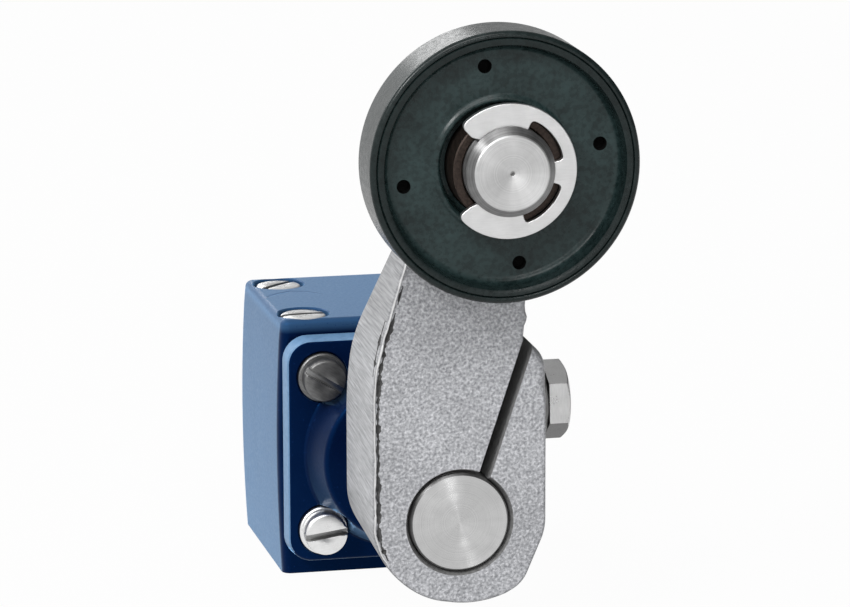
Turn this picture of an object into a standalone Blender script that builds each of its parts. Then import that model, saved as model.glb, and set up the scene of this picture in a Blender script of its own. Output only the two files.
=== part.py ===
"""Operating head of a limit switch with a clamped roller lever.

Metres, +Z up. The origin is the middle of the head's base face. +X is to the right and -Y is the front,
where the shaft comes out. Pieces round the shaft are drawn in a front frame: x to the right, y up and z
forward from the face of the housing.
"""

import math

import bmesh
import bpy
from mathutils import Matrix, Vector

# Clearances
SEAT = 0.0001
RUN = 0.0001
HOLE_CLEAR = 0.00025
WELD = 0.0000005
OVERCUT = 0.002

# Housing
HEAD_WIDTH = 0.0265
HEAD_DEPTH = 0.0217
HEAD_HEIGHT = 0.0282
HEAD_CORNER = 0.0008
HEAD_TOP_ROUND = 0.0005
DRAFT_TOP = 0.0005
DRAFT_BOTTOM = 0.00045
DRAFT_FRONT = 0.00036
SHAFT_HEIGHT = 0.01385
POCKET_FLOOR = 0.00505
POCKET_ROOF = 0.00555
POCKET_WALL = 0.0011
POCKET_CORNER = 0.003
REAR_WALL = 0.004
PIVOT_DEPTH = 0.0025

# Screws down through the housing
HEAD_SCREW_SIDE_MARGIN = 0.00385
HEAD_SCREW_END_MARGIN = 0.0033
HEAD_SCREW_HEAD_R = 0.0025
HEAD_SCREW_HEAD_H = 0.0015
HEAD_SCREW_R = 0.0011
HEAD_SCREW_SUNK = 0.00012
HEAD_RECESS_CLEAR = 0.00035
HEAD_SCREW_TURNS = (40.0, -25.0, 4.0, 70.0)

# Front plate with its boss, and its gasket
PLATE_THICKNESS = 0.0023
PLATE_SIDE_RIM = 0.0008
PLATE_TOP_RIM = 0.0015
PLATE_BOTTOM_RIM = 0.00195
PLATE_CORNER = 0.0027
PLATE_EDGE_ROUND = 0.0004
PLATE_DRAFT = 0.00035
GASKET_THICKNESS = 0.0005
GASKET_INSET = 0.0003
BOSS_BASE_R = 0.0104
BOSS_TOP_R = 0.0092
BOSS_HEIGHT = 0.004
BOSS_EDGE = 0.0003
NOSE_WALL = 0.0014
NOSE_LENGTH = 0.0056
NOSE_CHAMFER = 0.0004
BUSHING_LIP = 0.0015

# Screws of the front plate
PLATE_SCREW_SIDE_MARGIN = 0.0039
PLATE_SCREW_TOP_MARGIN = 0.00416
PLATE_SCREW_BOTTOM_MARGIN = 0.00364
PLATE_SCREW_HEAD_R = 0.0023
PLATE_SCREW_HEAD_H = 0.0026
PLATE_SCREW_COLLAR_R = 0.00265
PLATE_SCREW_COLLAR = 0.0008
PLATE_SCREW_R = 0.0011
PLATE_SCREW_GRIP = 0.0012
PLATE_RECESS_DEPTH = 0.0003
PLATE_RECESS_CLEAR = 0.0002
PLATE_SCREW_TURNS = (-32.0, 55.0, 8.0, 20.0)

# Slots of the screw heads
SLOT_WIDTH = 0.0007
SLOT_DEPTH = 0.0007
SCREW_EDGE = 0.0002

# Shaft, its bearing and its seal
SHAFT_R = 0.0051
SHAFT_END_CHAMFER = 0.0004
JOURNAL_R = 0.004
SPINDLE_R = 0.0032
CAM_SEAT_R = 0.0026
TAIL_R = 0.0019
SHOULDER_GAP = 0.0006
BUSHING_WALL = 0.0009
SEAL_WALL = 0.0015
SEAL_LENGTH = 0.0012
SEAL_LIP = 0.0004
SHAFT_CLIP_THICKNESS = 0.0006
SHAFT_CLIP_RIM = 0.0004
SHAFT_GROOVE = 0.0006
SHAFT_GROOVE_LAND = 0.0008
SHAFT_CLIP_MOUTH = 80.0

# Cam, plunger and springs
LEVER_SWING = 75.0
PLUNGER_STROKE = 0.001
CAM_R = 0.005
CAM_THICKNESS = 0.0036
CAM_REAR_GAP = 0.0012
CAM_SPAN = 105.0
CAM_STEP = 10.0
CAM_PIN_R = 0.00075
CAM_PIN_LENGTH = 0.0066
CAM_GAP = 0.0002
PLUNGER_R = 0.00155
PLUNGER_HEAD_R = 0.003
PLUNGER_RIM = 0.0006
PLUNGER_DOME = 0.0011
PLUNGER_FOOT = 0.0013
PLUNGER_CHAMFER = 0.00025
GUIDE_LIP = 0.0008
GUIDE_LIP_HOLE_R = 0.0024
GUIDE_FLANGE_R = 0.0033
GUIDE_FLANGE = 0.0007
GUIDE_SLEEVE = 0.0026
GUIDE_WALL = 0.0005
GUIDE_RUN = 0.00015
RETURN_WIRE_R = 0.00022
RETURN_TURNS = 4
RETURN_CLEAR = 0.0003
TORSION_WIRE_R = 0.0003
TORSION_TURNS = 5
TORSION_CLEAR = 0.0002
TORSION_FRONT_GAP = 0.0025
TORSION_REAR_GAP = 0.0017
TANG_BEND = 0.0008
TANG_DEPTH = 0.0009
TANG_ANGLE = -25.0

# Lever, in the front frame
SHAFT_SHOW = 0.00314
HUB_LENGTH = 0.0169
HUB_R = 0.0084
LEVER_RADIUS = 0.038
LEVER_LEAN = 4.69
LEVER_BORE_CHAMFER = 0.0004
LEVER_EDGE = 0.0003
LEVER_DRAFT = 0.0006
JAW_EXTRA = 0.0006
JAW_TOP = 0.0183
JAW_SHOULDER = 0.0031
JAW_SWEEP = 65.0
FOOT_R = 0.0106
FOOT_SWEEP = 32.7
FACET_TOP = 0.0011
SPLIT_WIDTH = 0.0013
SPLIT_TILT = 18.4
SPLIT_OFFSET = 0.00094
ARM_BEND_UP = 0.0163
ARM_BEND_RISE = 0.001
ARM_BEND_ROUND = 0.004
ARM_RIGHT = 0.00655
ARM_RIGHT_UP = 0.0188
ARM_END_R = 0.005
ARM_THICKNESS = 0.006
ARM_TAPER_LOW = 0.0105
ARM_TAPER_HIGH = 0.0285
ARM_TAPER_BLEND = 0.003

# Clamp bolt
BOLT_UP = 0.0103
BOLT_R = 0.002
BOLT_LENGTH = 0.0155
BOLT_FLATS = 0.0072
BOLT_HEAD = 0.0023
BOLT_SPIN = -5.5
BOLT_CHAMFER = 0.0004
WASHER_R = 0.0039
WASHER_THICKNESS = 0.0013

# Roller and its axle
ROLLER_R = 0.01367
ROLLER_WIDTH = 0.00635
ROLLER_EDGE = 0.0005
ROLLER_RIM = 0.00145
ROLLER_STEP = 0.0002
WEB_RECESS = 0.0019
HUB_RECESS_R = 0.0063
HUB_LIP = 0.0003
HUB_LIP_WIDTH = 0.0009
HUB_RECESS = 0.0012
BACK_RECESS = 0.0013
BACK_HUB_R = 0.0085
DIMPLE_R = 0.00065
DIMPLE_DEPTH = 0.0005
DIMPLE_CIRCLE_R = 0.0101
DIMPLE_ANGLE = 10.0
DIMPLE_COUNT = 4
AXLE_R = 0.0045
AXLE_CHAMFER = 0.00075
AXLE_END = 0.00114
AXLE_SHANK_R = 0.003
RIVET_R = 0.0039
RIVET_HEIGHT = 0.0009
ROLLER_BUSH_WALL = 0.0009
ROLLER_BUSH_PROUD = 0.0006
THRUST_R = 0.0066
THRUST_THICKNESS = 0.0007
SIDE_PLAY = 0.00015

# Retaining clip of the roller
CLIP_R = 0.00677
CLIP_THICKNESS = 0.00075
CLIP_PLAY = 0.00025
CLIP_GROOVE = 0.0008
CLIP_SLOT = 0.001
CLIP_MOUTH = (136.5, 219.5)
CLIP_SLOTS = ((11.0, 65.0), (-72.0, -18.0))
CLIP_TIP = 0.0006

# Facets
ROUND = 28
SMALL_ROUND = 16
ROLLER_ROUND = 56
CORNER_STEPS = 4
CROWN_STEPS = 3
EDGE_STEPS = 3
CURL_POINTS = 9
HEX_SIDES = 6
MITRE_LIMIT = 0.5
SMOOTH_ANGLE = math.radians(35.0)

# Heights and depths that follow from the sizes above
HALF_WIDTH = HEAD_WIDTH / 2
HALF_DEPTH = HEAD_DEPTH / 2
HEAD_HOLE_R = HEAD_SCREW_R + HOLE_CLEAR
HEAD_RECESS_R = HEAD_SCREW_HEAD_R + HEAD_RECESS_CLEAR
HEAD_SCREW_X = HALF_WIDTH - HEAD_SCREW_SIDE_MARGIN
HEAD_SCREW_Y = HALF_DEPTH - HEAD_SCREW_END_MARGIN
HEAD_SCREW_SEAT = HEAD_HEIGHT - HEAD_SCREW_SUNK - HEAD_SCREW_HEAD_H
POCKET_HALF = HEAD_SCREW_X - HEAD_HOLE_R - POCKET_WALL
POCKET_TOP = HEAD_HEIGHT - POCKET_ROOF - SHAFT_HEIGHT
POCKET_BOTTOM = POCKET_FLOOR - SHAFT_HEIGHT
POCKET_BACK = REAR_WALL - HEAD_DEPTH
PLATE_BACK = GASKET_THICKNESS + 2 * SEAT
PLATE_FRONT = PLATE_BACK + PLATE_THICKNESS
PLATE_HALF = HALF_WIDTH - PLATE_SIDE_RIM
PLATE_TOP = HEAD_HEIGHT - PLATE_TOP_RIM - SHAFT_HEIGHT
PLATE_BOTTOM = PLATE_BOTTOM_RIM - SHAFT_HEIGHT
PLATE_SCREW_X = PLATE_HALF - PLATE_SCREW_SIDE_MARGIN
PLATE_SCREW_HIGH = PLATE_TOP - PLATE_SCREW_TOP_MARGIN
PLATE_SCREW_LOW = PLATE_BOTTOM + PLATE_SCREW_BOTTOM_MARGIN
PLATE_HOLE_R = PLATE_SCREW_R + HOLE_CLEAR
PLATE_RECESS_R = PLATE_SCREW_COLLAR_R + PLATE_RECESS_CLEAR
PLATE_SCREW_SEAT = PLATE_FRONT - PLATE_RECESS_DEPTH
BOSS_FRONT = PLATE_FRONT + BOSS_HEIGHT
NOSE_FRONT = BOSS_FRONT + NOSE_LENGTH
BUSHING_R = JOURNAL_R + RUN + BUSHING_WALL
BUSHING_SEAT_R = BUSHING_R + SEAT
NOSE_R = BUSHING_SEAT_R + NOSE_WALL
SEAL_R = JOURNAL_R + RUN + SEAL_WALL
SEAL_BACK = NOSE_FRONT - SEAL_LENGTH - SEAT
LIP_FRONT = PLATE_BACK + BUSHING_LIP
SHAFT_CLIP_FRONT = PLATE_BACK - 2 * SEAT
SHAFT_CLIP_BACK = SHAFT_CLIP_FRONT - SHAFT_CLIP_THICKNESS
SHAFT_CLIP_R = JOURNAL_R + SHAFT_CLIP_RIM
GROOVE_R = JOURNAL_R - SHAFT_GROOVE
LAND_BACK = SHAFT_CLIP_BACK - SEAT - SHAFT_GROOVE_LAND
CAM_BACK = POCKET_BACK + CAM_REAR_GAP
CAM_FRONT = CAM_BACK + CAM_THICKNESS
CAM_MIDDLE = (CAM_FRONT + CAM_BACK) / 2
CAM_RATE = PLUNGER_STROKE / math.radians(LEVER_SWING)
TAIL_FRONT = CAM_BACK - SEAT
TAIL_BACK = POCKET_BACK - PIVOT_DEPTH + 2 * SEAT
PLUNGER_Y = -HALF_DEPTH - CAM_MIDDLE
PLUNGER_TOP = SHAFT_HEIGHT - CAM_R - CAM_GAP
PLUNGER_COLLAR = PLUNGER_TOP - PLUNGER_DOME - PLUNGER_RIM
GUIDE_BORE_R = GUIDE_FLANGE_R + SEAT
GUIDE_LOW = GUIDE_LIP + SEAT
GUIDE_FLANGE_TOP = GUIDE_LOW + GUIDE_FLANGE
GUIDE_TOP = GUIDE_FLANGE_TOP + GUIDE_SLEEVE
GUIDE_HOLE_R = PLUNGER_R + GUIDE_RUN
GUIDE_SLEEVE_R = GUIDE_HOLE_R + GUIDE_WALL
RETURN_R = GUIDE_SLEEVE_R + RETURN_CLEAR + RETURN_WIRE_R
RETURN_LOW = GUIDE_FLANGE_TOP + SEAT + RETURN_WIRE_R
RETURN_HIGH = PLUNGER_COLLAR - SEAT - RETURN_WIRE_R
TORSION_R = SHAFT_CLIP_R + TORSION_CLEAR + TORSION_WIRE_R
TORSION_FRONT = SHAFT_CLIP_BACK - TORSION_FRONT_GAP
TORSION_BACK = CAM_FRONT + TORSION_REAR_GAP
TANG_HOLE_R = TORSION_WIRE_R + RUN
LEVER_BACK = NOSE_FRONT + SHAFT_SHOW
LEVER_FRONT = LEVER_BACK + HUB_LENGTH
LEVER_BORE_R = SHAFT_R + RUN
JAW_REACH = HUB_R + JAW_EXTRA
AXLE_X = LEVER_RADIUS * math.sin(math.radians(LEVER_LEAN))
AXLE_UP = LEVER_RADIUS * math.cos(math.radians(LEVER_LEAN))
ARM_BACK = LEVER_FRONT - ARM_THICKNESS
BOLT_FORWARD = LEVER_FRONT - HUB_LENGTH / 2
BOLT_HOLE_R = BOLT_R + HOLE_CLEAR
WASHER_FACE = JAW_REACH + SEAT
BOLT_SEAT = WASHER_FACE + WASHER_THICKNESS + SEAT
THRUST_BACK = LEVER_FRONT + SIDE_PLAY
ROLLER_BACK = THRUST_BACK + THRUST_THICKNESS + SIDE_PLAY
ROLLER_FRONT = ROLLER_BACK + ROLLER_WIDTH
ROLLER_BUSH_R = AXLE_R + RUN + ROLLER_BUSH_WALL
ROLLER_BORE_R = ROLLER_BUSH_R + SEAT
ROLLER_BUSH_FRONT = ROLLER_FRONT + ROLLER_BUSH_PROUD
WEB_FRONT = ROLLER_FRONT - WEB_RECESS
CLIP_BACK = ROLLER_BUSH_FRONT + CLIP_PLAY
CLIP_FRONT = CLIP_BACK + CLIP_THICKNESS
CLIP_BORE_R = AXLE_R - CLIP_GROOVE + RUN
AXLE_FRONT = CLIP_FRONT + AXLE_END

# Frames: where a piece's own origin lies, and how it is turned
FRONT_TURN = (math.pi / 2, 0.0, 0.0)
SIDE_TURN = (0.0, math.pi / 2, 0.0)
UPRIGHT = (0.0, 0.0, 0.0)
SHAFT_POINT = Vector((0.0, -HALF_DEPTH, SHAFT_HEIGHT))
AXLE_POINT = SHAFT_POINT + Vector((AXLE_X, 0.0, AXLE_UP))
BOLT_POINT = SHAFT_POINT + Vector((0.0, -BOLT_FORWARD, BOLT_UP))
CAM_PIN_POINT = SHAFT_POINT - Vector((0.0, CAM_MIDDLE, 0.0))
PLUNGER_POINT = Vector((0.0, PLUNGER_Y, 0.0))
ON_SHAFT = (SHAFT_POINT, FRONT_TURN)
ON_AXLE = (AXLE_POINT, FRONT_TURN)
ON_BOLT = (BOLT_POINT, SIDE_TURN)
ON_CAM_PIN = (CAM_PIN_POINT, SIDE_TURN)
ON_PLUNGER = (PLUNGER_POINT, UPRIGHT)
ON_BASE = (Vector((0.0, 0.0, 0.0)), UPRIGHT)

# Finishes: colour, roughness and metallic value
BLUE_PAINT = ((0.035, 0.10, 0.27), 0.45, 0.2)
BLACK_RUBBER = ((0.02, 0.02, 0.022), 0.8, 0.0)
STEEL = ((0.62, 0.62, 0.63), 0.3, 1.0)
SPRING_STEEL = ((0.45, 0.45, 0.47), 0.35, 1.0)
BRONZE = ((0.42, 0.27, 0.14), 0.45, 1.0)
CAST_METAL = ((0.42, 0.42, 0.42), 0.6, 0.9)
ROLLER_PLASTIC = ((0.028, 0.042, 0.042), 0.5, 0.0)


def finish_of(name, finish):
    """One Principled material for one piece."""
    colour, roughness, metallic = finish
    surface = bpy.data.materials.new(name)
    surface.use_nodes = True
    shader = surface.node_tree.nodes["Principled BSDF"]
    shader.inputs["Base Color"].default_value = (*colour, 1.0)
    shader.inputs["Roughness"].default_value = roughness
    shader.inputs["Metallic"].default_value = metallic
    return surface


def place_object(name, data, place, finish):
    """Link an object at its place; without a finish it is a cutter."""
    piece = bpy.data.objects.new(name, data)
    bpy.context.scene.collection.objects.link(piece)
    piece.location, piece.rotation_euler = place
    if finish is None:
        piece.hide_render = True
        piece.display_type = "WIRE"
    else:
        data.materials.append(finish_of(name, finish))
    return piece


def closed_mesh(name, bm):
    """Weld, turn the faces outward and shade smooth up to the sharp edges."""
    bmesh.ops.remove_doubles(bm, verts=bm.verts, dist=WELD)
    bmesh.ops.recalc_face_normals(bm, faces=bm.faces)
    mesh = bpy.data.meshes.new(name)
    bm.to_mesh(mesh)
    bm.free()
    mesh.shade_smooth()
    mesh.set_sharp_from_angle(angle=SMOOTH_ANGLE)
    return mesh


def turned(name, profile, place, finish=None, segments=ROUND, start=0.0):
    """Spin (radius, height) points from a start angle; a profile off the axis makes a ring."""
    bm = bmesh.new()
    points = [bm.verts.new((*polar(radius, start), height)) for radius, height in profile]
    pairs = list(zip(points, points[1:]))
    if min(radius for radius, _ in profile) > 0:
        pairs.append((points[-1], points[0]))
    edges = [bm.edges.new(pair) for pair in pairs]
    bmesh.ops.spin(
        bm,
        geom=points + edges,
        cent=(0.0, 0.0, 0.0),
        axis=(0.0, 0.0, 1.0),
        angle=2 * math.pi,
        steps=segments,
        use_merge=True,
    )
    return place_object(name, closed_mesh(name, bm), place, finish)


def lofted(name, loops, place, finish=None):
    """Join loops of points, one above the other, and cap both ends."""
    bm = bmesh.new()
    rings = [[bm.verts.new(point) for point in loop] for loop in loops]
    bm.faces.new(rings[0])
    bm.faces.new(rings[-1])
    for low, high in zip(rings, rings[1:]):
        for i, corner in enumerate(low):
            j = (i + 1) % len(low)
            bm.faces.new((corner, low[j], high[j], high[i]))
    return place_object(name, closed_mesh(name, bm), place, finish)


def extruded(name, outline, low, high, place, finish=None):
    """A prism between two heights."""
    return lofted(name, [at_height(outline, low), at_height(outline, high)], place, finish)


def at_height(outline, height):
    """An outline lifted to a height."""
    return [(x, y, height) for x, y in outline]


def arc(x, y, radius, start, end, steps):
    """Points of an arc, from one angle in degrees to another."""
    angles = [math.radians(start + (end - start) * i / steps) for i in range(steps + 1)]
    return [(x + radius * math.cos(a), y + radius * math.sin(a)) for a in angles]


def polar(radius, angle):
    """Point at a radius and an angle in degrees."""
    return (radius * math.cos(math.radians(angle)), radius * math.sin(math.radians(angle)))


def rounded_rectangle(left, right, bottom, top, radius):
    """Outline of a rectangle with rounded corners, counterclockwise."""
    points = arc(right - radius, top - radius, radius, 0, 90, CORNER_STEPS)
    points += arc(left + radius, top - radius, radius, 90, 180, CORNER_STEPS)
    points += arc(left + radius, bottom + radius, radius, 180, 270, CORNER_STEPS)
    points += arc(right - radius, bottom + radius, radius, 270, 360, CORNER_STEPS)
    return points


def inset(outline, distance):
    """Move each point of a counterclockwise outline inward, square to its two edges."""
    moved = []
    for i, point in enumerate(outline):
        here = Vector(point)
        before = (here - Vector(outline[i - 1])).normalized()
        after = (Vector(outline[(i + 1) % len(outline)]) - here).normalized()
        inward = Vector((-before.y - after.y, before.x + after.x)).normalized()
        reach = distance / max(inward.dot(Vector((-after.y, after.x))), MITRE_LIMIT)
        moved.append(tuple(here + inward * reach))
    return moved


def drawn_in(outline):
    """Bring the sides of an outline closer together toward the front."""
    slope = DRAFT_FRONT / (HEAD_DEPTH * HALF_WIDTH)
    return [(x * (1 - slope * (HALF_DEPTH - y)), y) for x, y in outline]


def edge_rounding(radius):
    """Pairs of inset and drop that round an edge over a quarter circle."""
    angles = [math.radians(90 * i / EDGE_STEPS) for i in range(EDGE_STEPS + 1)]
    return [(radius * (1 - math.cos(a)), radius * (1 - math.sin(a))) for a in angles]


def combine(target, tool, operation="DIFFERENCE"):
    """Cut a tool object out of a piece, join it on, or keep what they share."""
    step = target.modifiers.new(tool.name, "BOOLEAN")
    step.operation = operation
    step.solver = "EXACT"
    step.object = tool


def slotted_screw(name, place, sizes, spin, collar=None):
    """A screw with a slotted cheese head; sizes are head radius and height, shank radius and tip.

    The collar under the head, where there is one, is given as its radius and thickness.
    """
    head_r, head_h, shank_r, tip = sizes
    location, turn = place
    foot = [(head_r, 0.0)]
    if collar:
        collar_r, thickness = collar
        foot = [(head_r, thickness), (collar_r, thickness), (collar_r, 0.0)]
    profile = [
        (0.0, head_h),
        (head_r - SCREW_EDGE, head_h),
        (head_r, head_h - SCREW_EDGE),
        *foot,
        (shank_r, 0.0),
        (shank_r, tip + SCREW_EDGE),
        (shank_r - SCREW_EDGE, tip),
        (0.0, tip),
    ]
    turn = (turn[0], -math.radians(spin), 0.0) if turn == FRONT_TURN else (0.0, 0.0, math.radians(spin))
    screw = turned(name, profile, (location, turn), STEEL, SMALL_ROUND)
    reach = head_r + OVERCUT
    outline = [(-reach, -SLOT_WIDTH / 2), (reach, -SLOT_WIDTH / 2)]
    outline += [(reach, SLOT_WIDTH / 2), (-reach, SLOT_WIDTH / 2)]
    slot = extruded(f"{name}_slot", outline, head_h - SLOT_DEPTH, head_h + OVERCUT, (location, turn))
    combine(screw, slot)
    return screw


def wire(name, points, radius, place, finish):
    """One unbroken round wire along a row of points."""
    path = bpy.data.curves.new(name, "CURVE")
    path.dimensions = "3D"
    path.bevel_depth = radius
    path.bevel_resolution = 1
    path.use_fill_caps = True
    line = path.splines.new("POLY")
    line.points.add(len(points) - 1)
    for target, point in zip(line.points, points):
        target.co = (*point, 1.0)
    return place_object(name, path, place, finish)


def helix(radius, start, end, turns, first_angle):
    """Points along a coil about the local z axis."""
    count = turns * CURL_POINTS
    points = []
    for i in range(count + 1):
        angle = math.radians(first_angle) + 2 * math.pi * i / CURL_POINTS
        height = start + (end - start) * i / count
        points.append(Vector((radius * math.cos(angle), radius * math.sin(angle), height)))
    return points


def tell_least_gap(name, points, radius):
    """Measure and print how close a coil's turns come to each other."""
    apart = CURL_POINTS // 2
    pairs = ((a, b) for i, a in enumerate(points) for b in points[i + apart :])
    least = min((a - b).length for a, b in pairs) - 2 * radius
    print(f"{name}: least gap to itself {least * 1000:.2f} mm")


def corners(x, low, high):
    """Four corner places of a screw pattern, upper or rear row first."""
    return [(-x, high), (x, high), (-x, low), (x, low)]


def make_housing():
    """Cast block: crowned and drafted sides, pocket for the cam, screw holes, guide and pivot bores."""
    middle = HEAD_HEIGHT / 2
    shares = [i / CROWN_STEPS for i in range(CROWN_STEPS)]
    sections = [(middle * share, DRAFT_BOTTOM * (1 - share) ** 2, 0.0) for share in shares]
    sections += [(middle * (1 + share), DRAFT_TOP * share**2, 0.0) for share in shares]
    for edge_inset, drop in edge_rounding(HEAD_TOP_ROUND):
        sections.append((HEAD_HEIGHT - drop, DRAFT_TOP + edge_inset, edge_inset))
    loops = []
    for height, side, ends in sections:
        x = HALF_WIDTH - side
        y = HALF_DEPTH - ends
        outline = rounded_rectangle(-x, x, -y, y, HEAD_CORNER - ends)
        loops.append(at_height(drawn_in(outline), height))
    housing = lofted("head_housing", loops, ON_BASE, BLUE_PAINT)

    outline = rounded_rectangle(-POCKET_HALF, POCKET_HALF, POCKET_BOTTOM, POCKET_TOP, POCKET_CORNER)
    combine(housing, extruded("pocket_cut", outline, POCKET_BACK, OVERCUT, ON_SHAFT))
    pivot = [
        (0.0, POCKET_BACK + OVERCUT),
        (TAIL_R + RUN, POCKET_BACK + OVERCUT),
        (TAIL_R + RUN, POCKET_BACK - PIVOT_DEPTH),
        (0.0, POCKET_BACK - PIVOT_DEPTH),
    ]
    combine(housing, turned("pivot_cut", pivot, ON_SHAFT, segments=SMALL_ROUND))
    guide = [
        (0.0, POCKET_FLOOR + OVERCUT),
        (GUIDE_BORE_R, POCKET_FLOOR + OVERCUT),
        (GUIDE_BORE_R, GUIDE_LIP),
        (GUIDE_LIP_HOLE_R, GUIDE_LIP),
        (GUIDE_LIP_HOLE_R, -OVERCUT),
        (0.0, -OVERCUT),
    ]
    combine(housing, turned("guide_cut", guide, ON_PLUNGER))
    for number, (x, y) in enumerate(corners(HEAD_SCREW_X, -HEAD_SCREW_Y, HEAD_SCREW_Y), 1):
        hole = [
            (0.0, HEAD_HEIGHT + OVERCUT),
            (HEAD_RECESS_R, HEAD_HEIGHT + OVERCUT),
            (HEAD_RECESS_R, HEAD_SCREW_SEAT - SEAT),
            (HEAD_HOLE_R, HEAD_SCREW_SEAT - SEAT),
            (HEAD_HOLE_R, -OVERCUT),
            (0.0, -OVERCUT),
        ]
        place = (Vector((x, y, 0.0)), UPRIGHT)
        combine(housing, turned(f"head_hole_{number}", hole, place, segments=SMALL_ROUND))
    for number, (x, up) in enumerate(corners(PLATE_SCREW_X, PLATE_SCREW_LOW, PLATE_SCREW_HIGH), 1):
        hole = [
            (0.0, OVERCUT),
            (PLATE_HOLE_R, OVERCUT),
            (PLATE_HOLE_R, -PLATE_SCREW_GRIP - SEAT),
            (0.0, -PLATE_SCREW_GRIP - SEAT),
        ]
        place = (SHAFT_POINT + Vector((x, 0.0, up)), FRONT_TURN)
        combine(housing, turned(f"tapped_hole_{number}", hole, place, segments=SMALL_ROUND))
    return housing


def make_head_screws():
    """Long screws that hold the head down, their tips level with the base."""
    tip = SEAT - HEAD_SCREW_SEAT
    sizes = (HEAD_SCREW_HEAD_R, HEAD_SCREW_HEAD_H, HEAD_SCREW_R, tip)
    for number, (x, y) in enumerate(corners(HEAD_SCREW_X, -HEAD_SCREW_Y, HEAD_SCREW_Y), 1):
        place = (Vector((x, y, HEAD_SCREW_SEAT)), UPRIGHT)
        slotted_screw(f"head_screw_{number}", place, sizes, HEAD_SCREW_TURNS[number - 1])


def make_gasket():
    """Flat gasket between housing and front plate, open over the pocket."""
    side = PLATE_HALF - GASKET_INSET
    low = PLATE_BOTTOM + GASKET_INSET
    high = PLATE_TOP - GASKET_INSET
    outline = rounded_rectangle(-side, side, low, high, PLATE_CORNER - GASKET_INSET)
    gasket = extruded("plate_gasket", outline, SEAT, SEAT + GASKET_THICKNESS, ON_SHAFT, BLACK_RUBBER)
    outline = rounded_rectangle(-POCKET_HALF, POCKET_HALF, POCKET_BOTTOM, POCKET_TOP, POCKET_CORNER)
    combine(gasket, extruded("gasket_window", outline, -OVERCUT, OVERCUT, ON_SHAFT))
    for number, (x, up) in enumerate(corners(PLATE_SCREW_X, PLATE_SCREW_LOW, PLATE_SCREW_HIGH), 1):
        hole = [(0.0, OVERCUT), (PLATE_HOLE_R, OVERCUT), (PLATE_HOLE_R, -OVERCUT), (0.0, -OVERCUT)]
        place = (SHAFT_POINT + Vector((x, 0.0, up)), FRONT_TURN)
        combine(gasket, turned(f"gasket_hole_{number}", hole, place, segments=SMALL_ROUND))


def make_front_plate():
    """Plate with a tapered boss and a nose that hold the shaft's bearing."""
    outline = rounded_rectangle(-PLATE_HALF, PLATE_HALF, PLATE_BOTTOM, PLATE_TOP, PLATE_CORNER)
    loops = [at_height(outline, PLATE_BACK)]
    for edge_inset, drop in edge_rounding(PLATE_EDGE_ROUND):
        loops.append(at_height(inset(outline, PLATE_DRAFT + edge_inset), PLATE_FRONT - drop))
    plate = lofted("front_plate", loops, ON_SHAFT, BLUE_PAINT)

    inside = (PLATE_BACK + PLATE_FRONT) / 2
    boss = [
        (0.0, NOSE_FRONT),
        (NOSE_R - NOSE_CHAMFER, NOSE_FRONT),
        (NOSE_R, NOSE_FRONT - NOSE_CHAMFER),
        (NOSE_R, BOSS_FRONT),
        (BOSS_TOP_R - BOSS_EDGE, BOSS_FRONT),
        (BOSS_TOP_R, BOSS_FRONT - BOSS_EDGE),
        (BOSS_BASE_R, PLATE_FRONT),
        (BOSS_BASE_R, inside),
        (0.0, inside),
    ]
    combine(plate, turned("boss_form", boss, ON_SHAFT), "UNION")
    bore = [
        (0.0, NOSE_FRONT + OVERCUT),
        (SEAL_R + SEAT, NOSE_FRONT + OVERCUT),
        (SEAL_R + SEAT, SEAL_BACK - SEAT),
        (BUSHING_SEAT_R, SEAL_BACK - SEAT),
        (BUSHING_SEAT_R, LIP_FRONT),
        (JOURNAL_R + HOLE_CLEAR, LIP_FRONT),
        (JOURNAL_R + HOLE_CLEAR, PLATE_BACK - OVERCUT),
        (0.0, PLATE_BACK - OVERCUT),
    ]
    combine(plate, turned("bearing_cut", bore, ON_SHAFT))
    for number, (x, up) in enumerate(corners(PLATE_SCREW_X, PLATE_SCREW_LOW, PLATE_SCREW_HIGH), 1):
        hole = [
            (0.0, BOSS_FRONT + OVERCUT),
            (PLATE_RECESS_R, BOSS_FRONT + OVERCUT),
            (PLATE_RECESS_R, PLATE_SCREW_SEAT - SEAT),
            (PLATE_HOLE_R, PLATE_SCREW_SEAT - SEAT),
            (PLATE_HOLE_R, PLATE_BACK - OVERCUT),
            (0.0, PLATE_BACK - OVERCUT),
        ]
        place = (SHAFT_POINT + Vector((x, 0.0, up)), FRONT_TURN)
        combine(plate, turned(f"plate_hole_{number}", hole, place, segments=SMALL_ROUND))
    combine(plate, tang_hole("plate_tang_hole", PLATE_BACK - OVERCUT, PLATE_BACK + TANG_DEPTH + SEAT))


def tang_hole(name, low, high):
    """Cutter for the small hole that takes an end of the torsion spring."""
    angle = math.radians(TANG_ANGLE)
    across = Vector((math.cos(angle), 0.0, math.sin(angle))) * TORSION_R
    profile = [(0.0, high), (TANG_HOLE_R, high), (TANG_HOLE_R, low), (0.0, low)]
    return turned(name, profile, (SHAFT_POINT + across, FRONT_TURN), segments=SMALL_ROUND)


def make_plate_screws():
    """Short screws of the front plate, heads standing a little proud."""
    tip = -PLATE_SCREW_GRIP - PLATE_SCREW_SEAT
    sizes = (PLATE_SCREW_HEAD_R, PLATE_SCREW_HEAD_H, PLATE_SCREW_R, tip)
    collar = (PLATE_SCREW_COLLAR_R, PLATE_SCREW_COLLAR)
    for number, (x, up) in enumerate(corners(PLATE_SCREW_X, PLATE_SCREW_LOW, PLATE_SCREW_HIGH), 1):
        place = (SHAFT_POINT + Vector((x, -PLATE_SCREW_SEAT, up)), FRONT_TURN)
        slotted_screw(f"plate_screw_{number}", place, sizes, PLATE_SCREW_TURNS[number - 1], collar)


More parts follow.
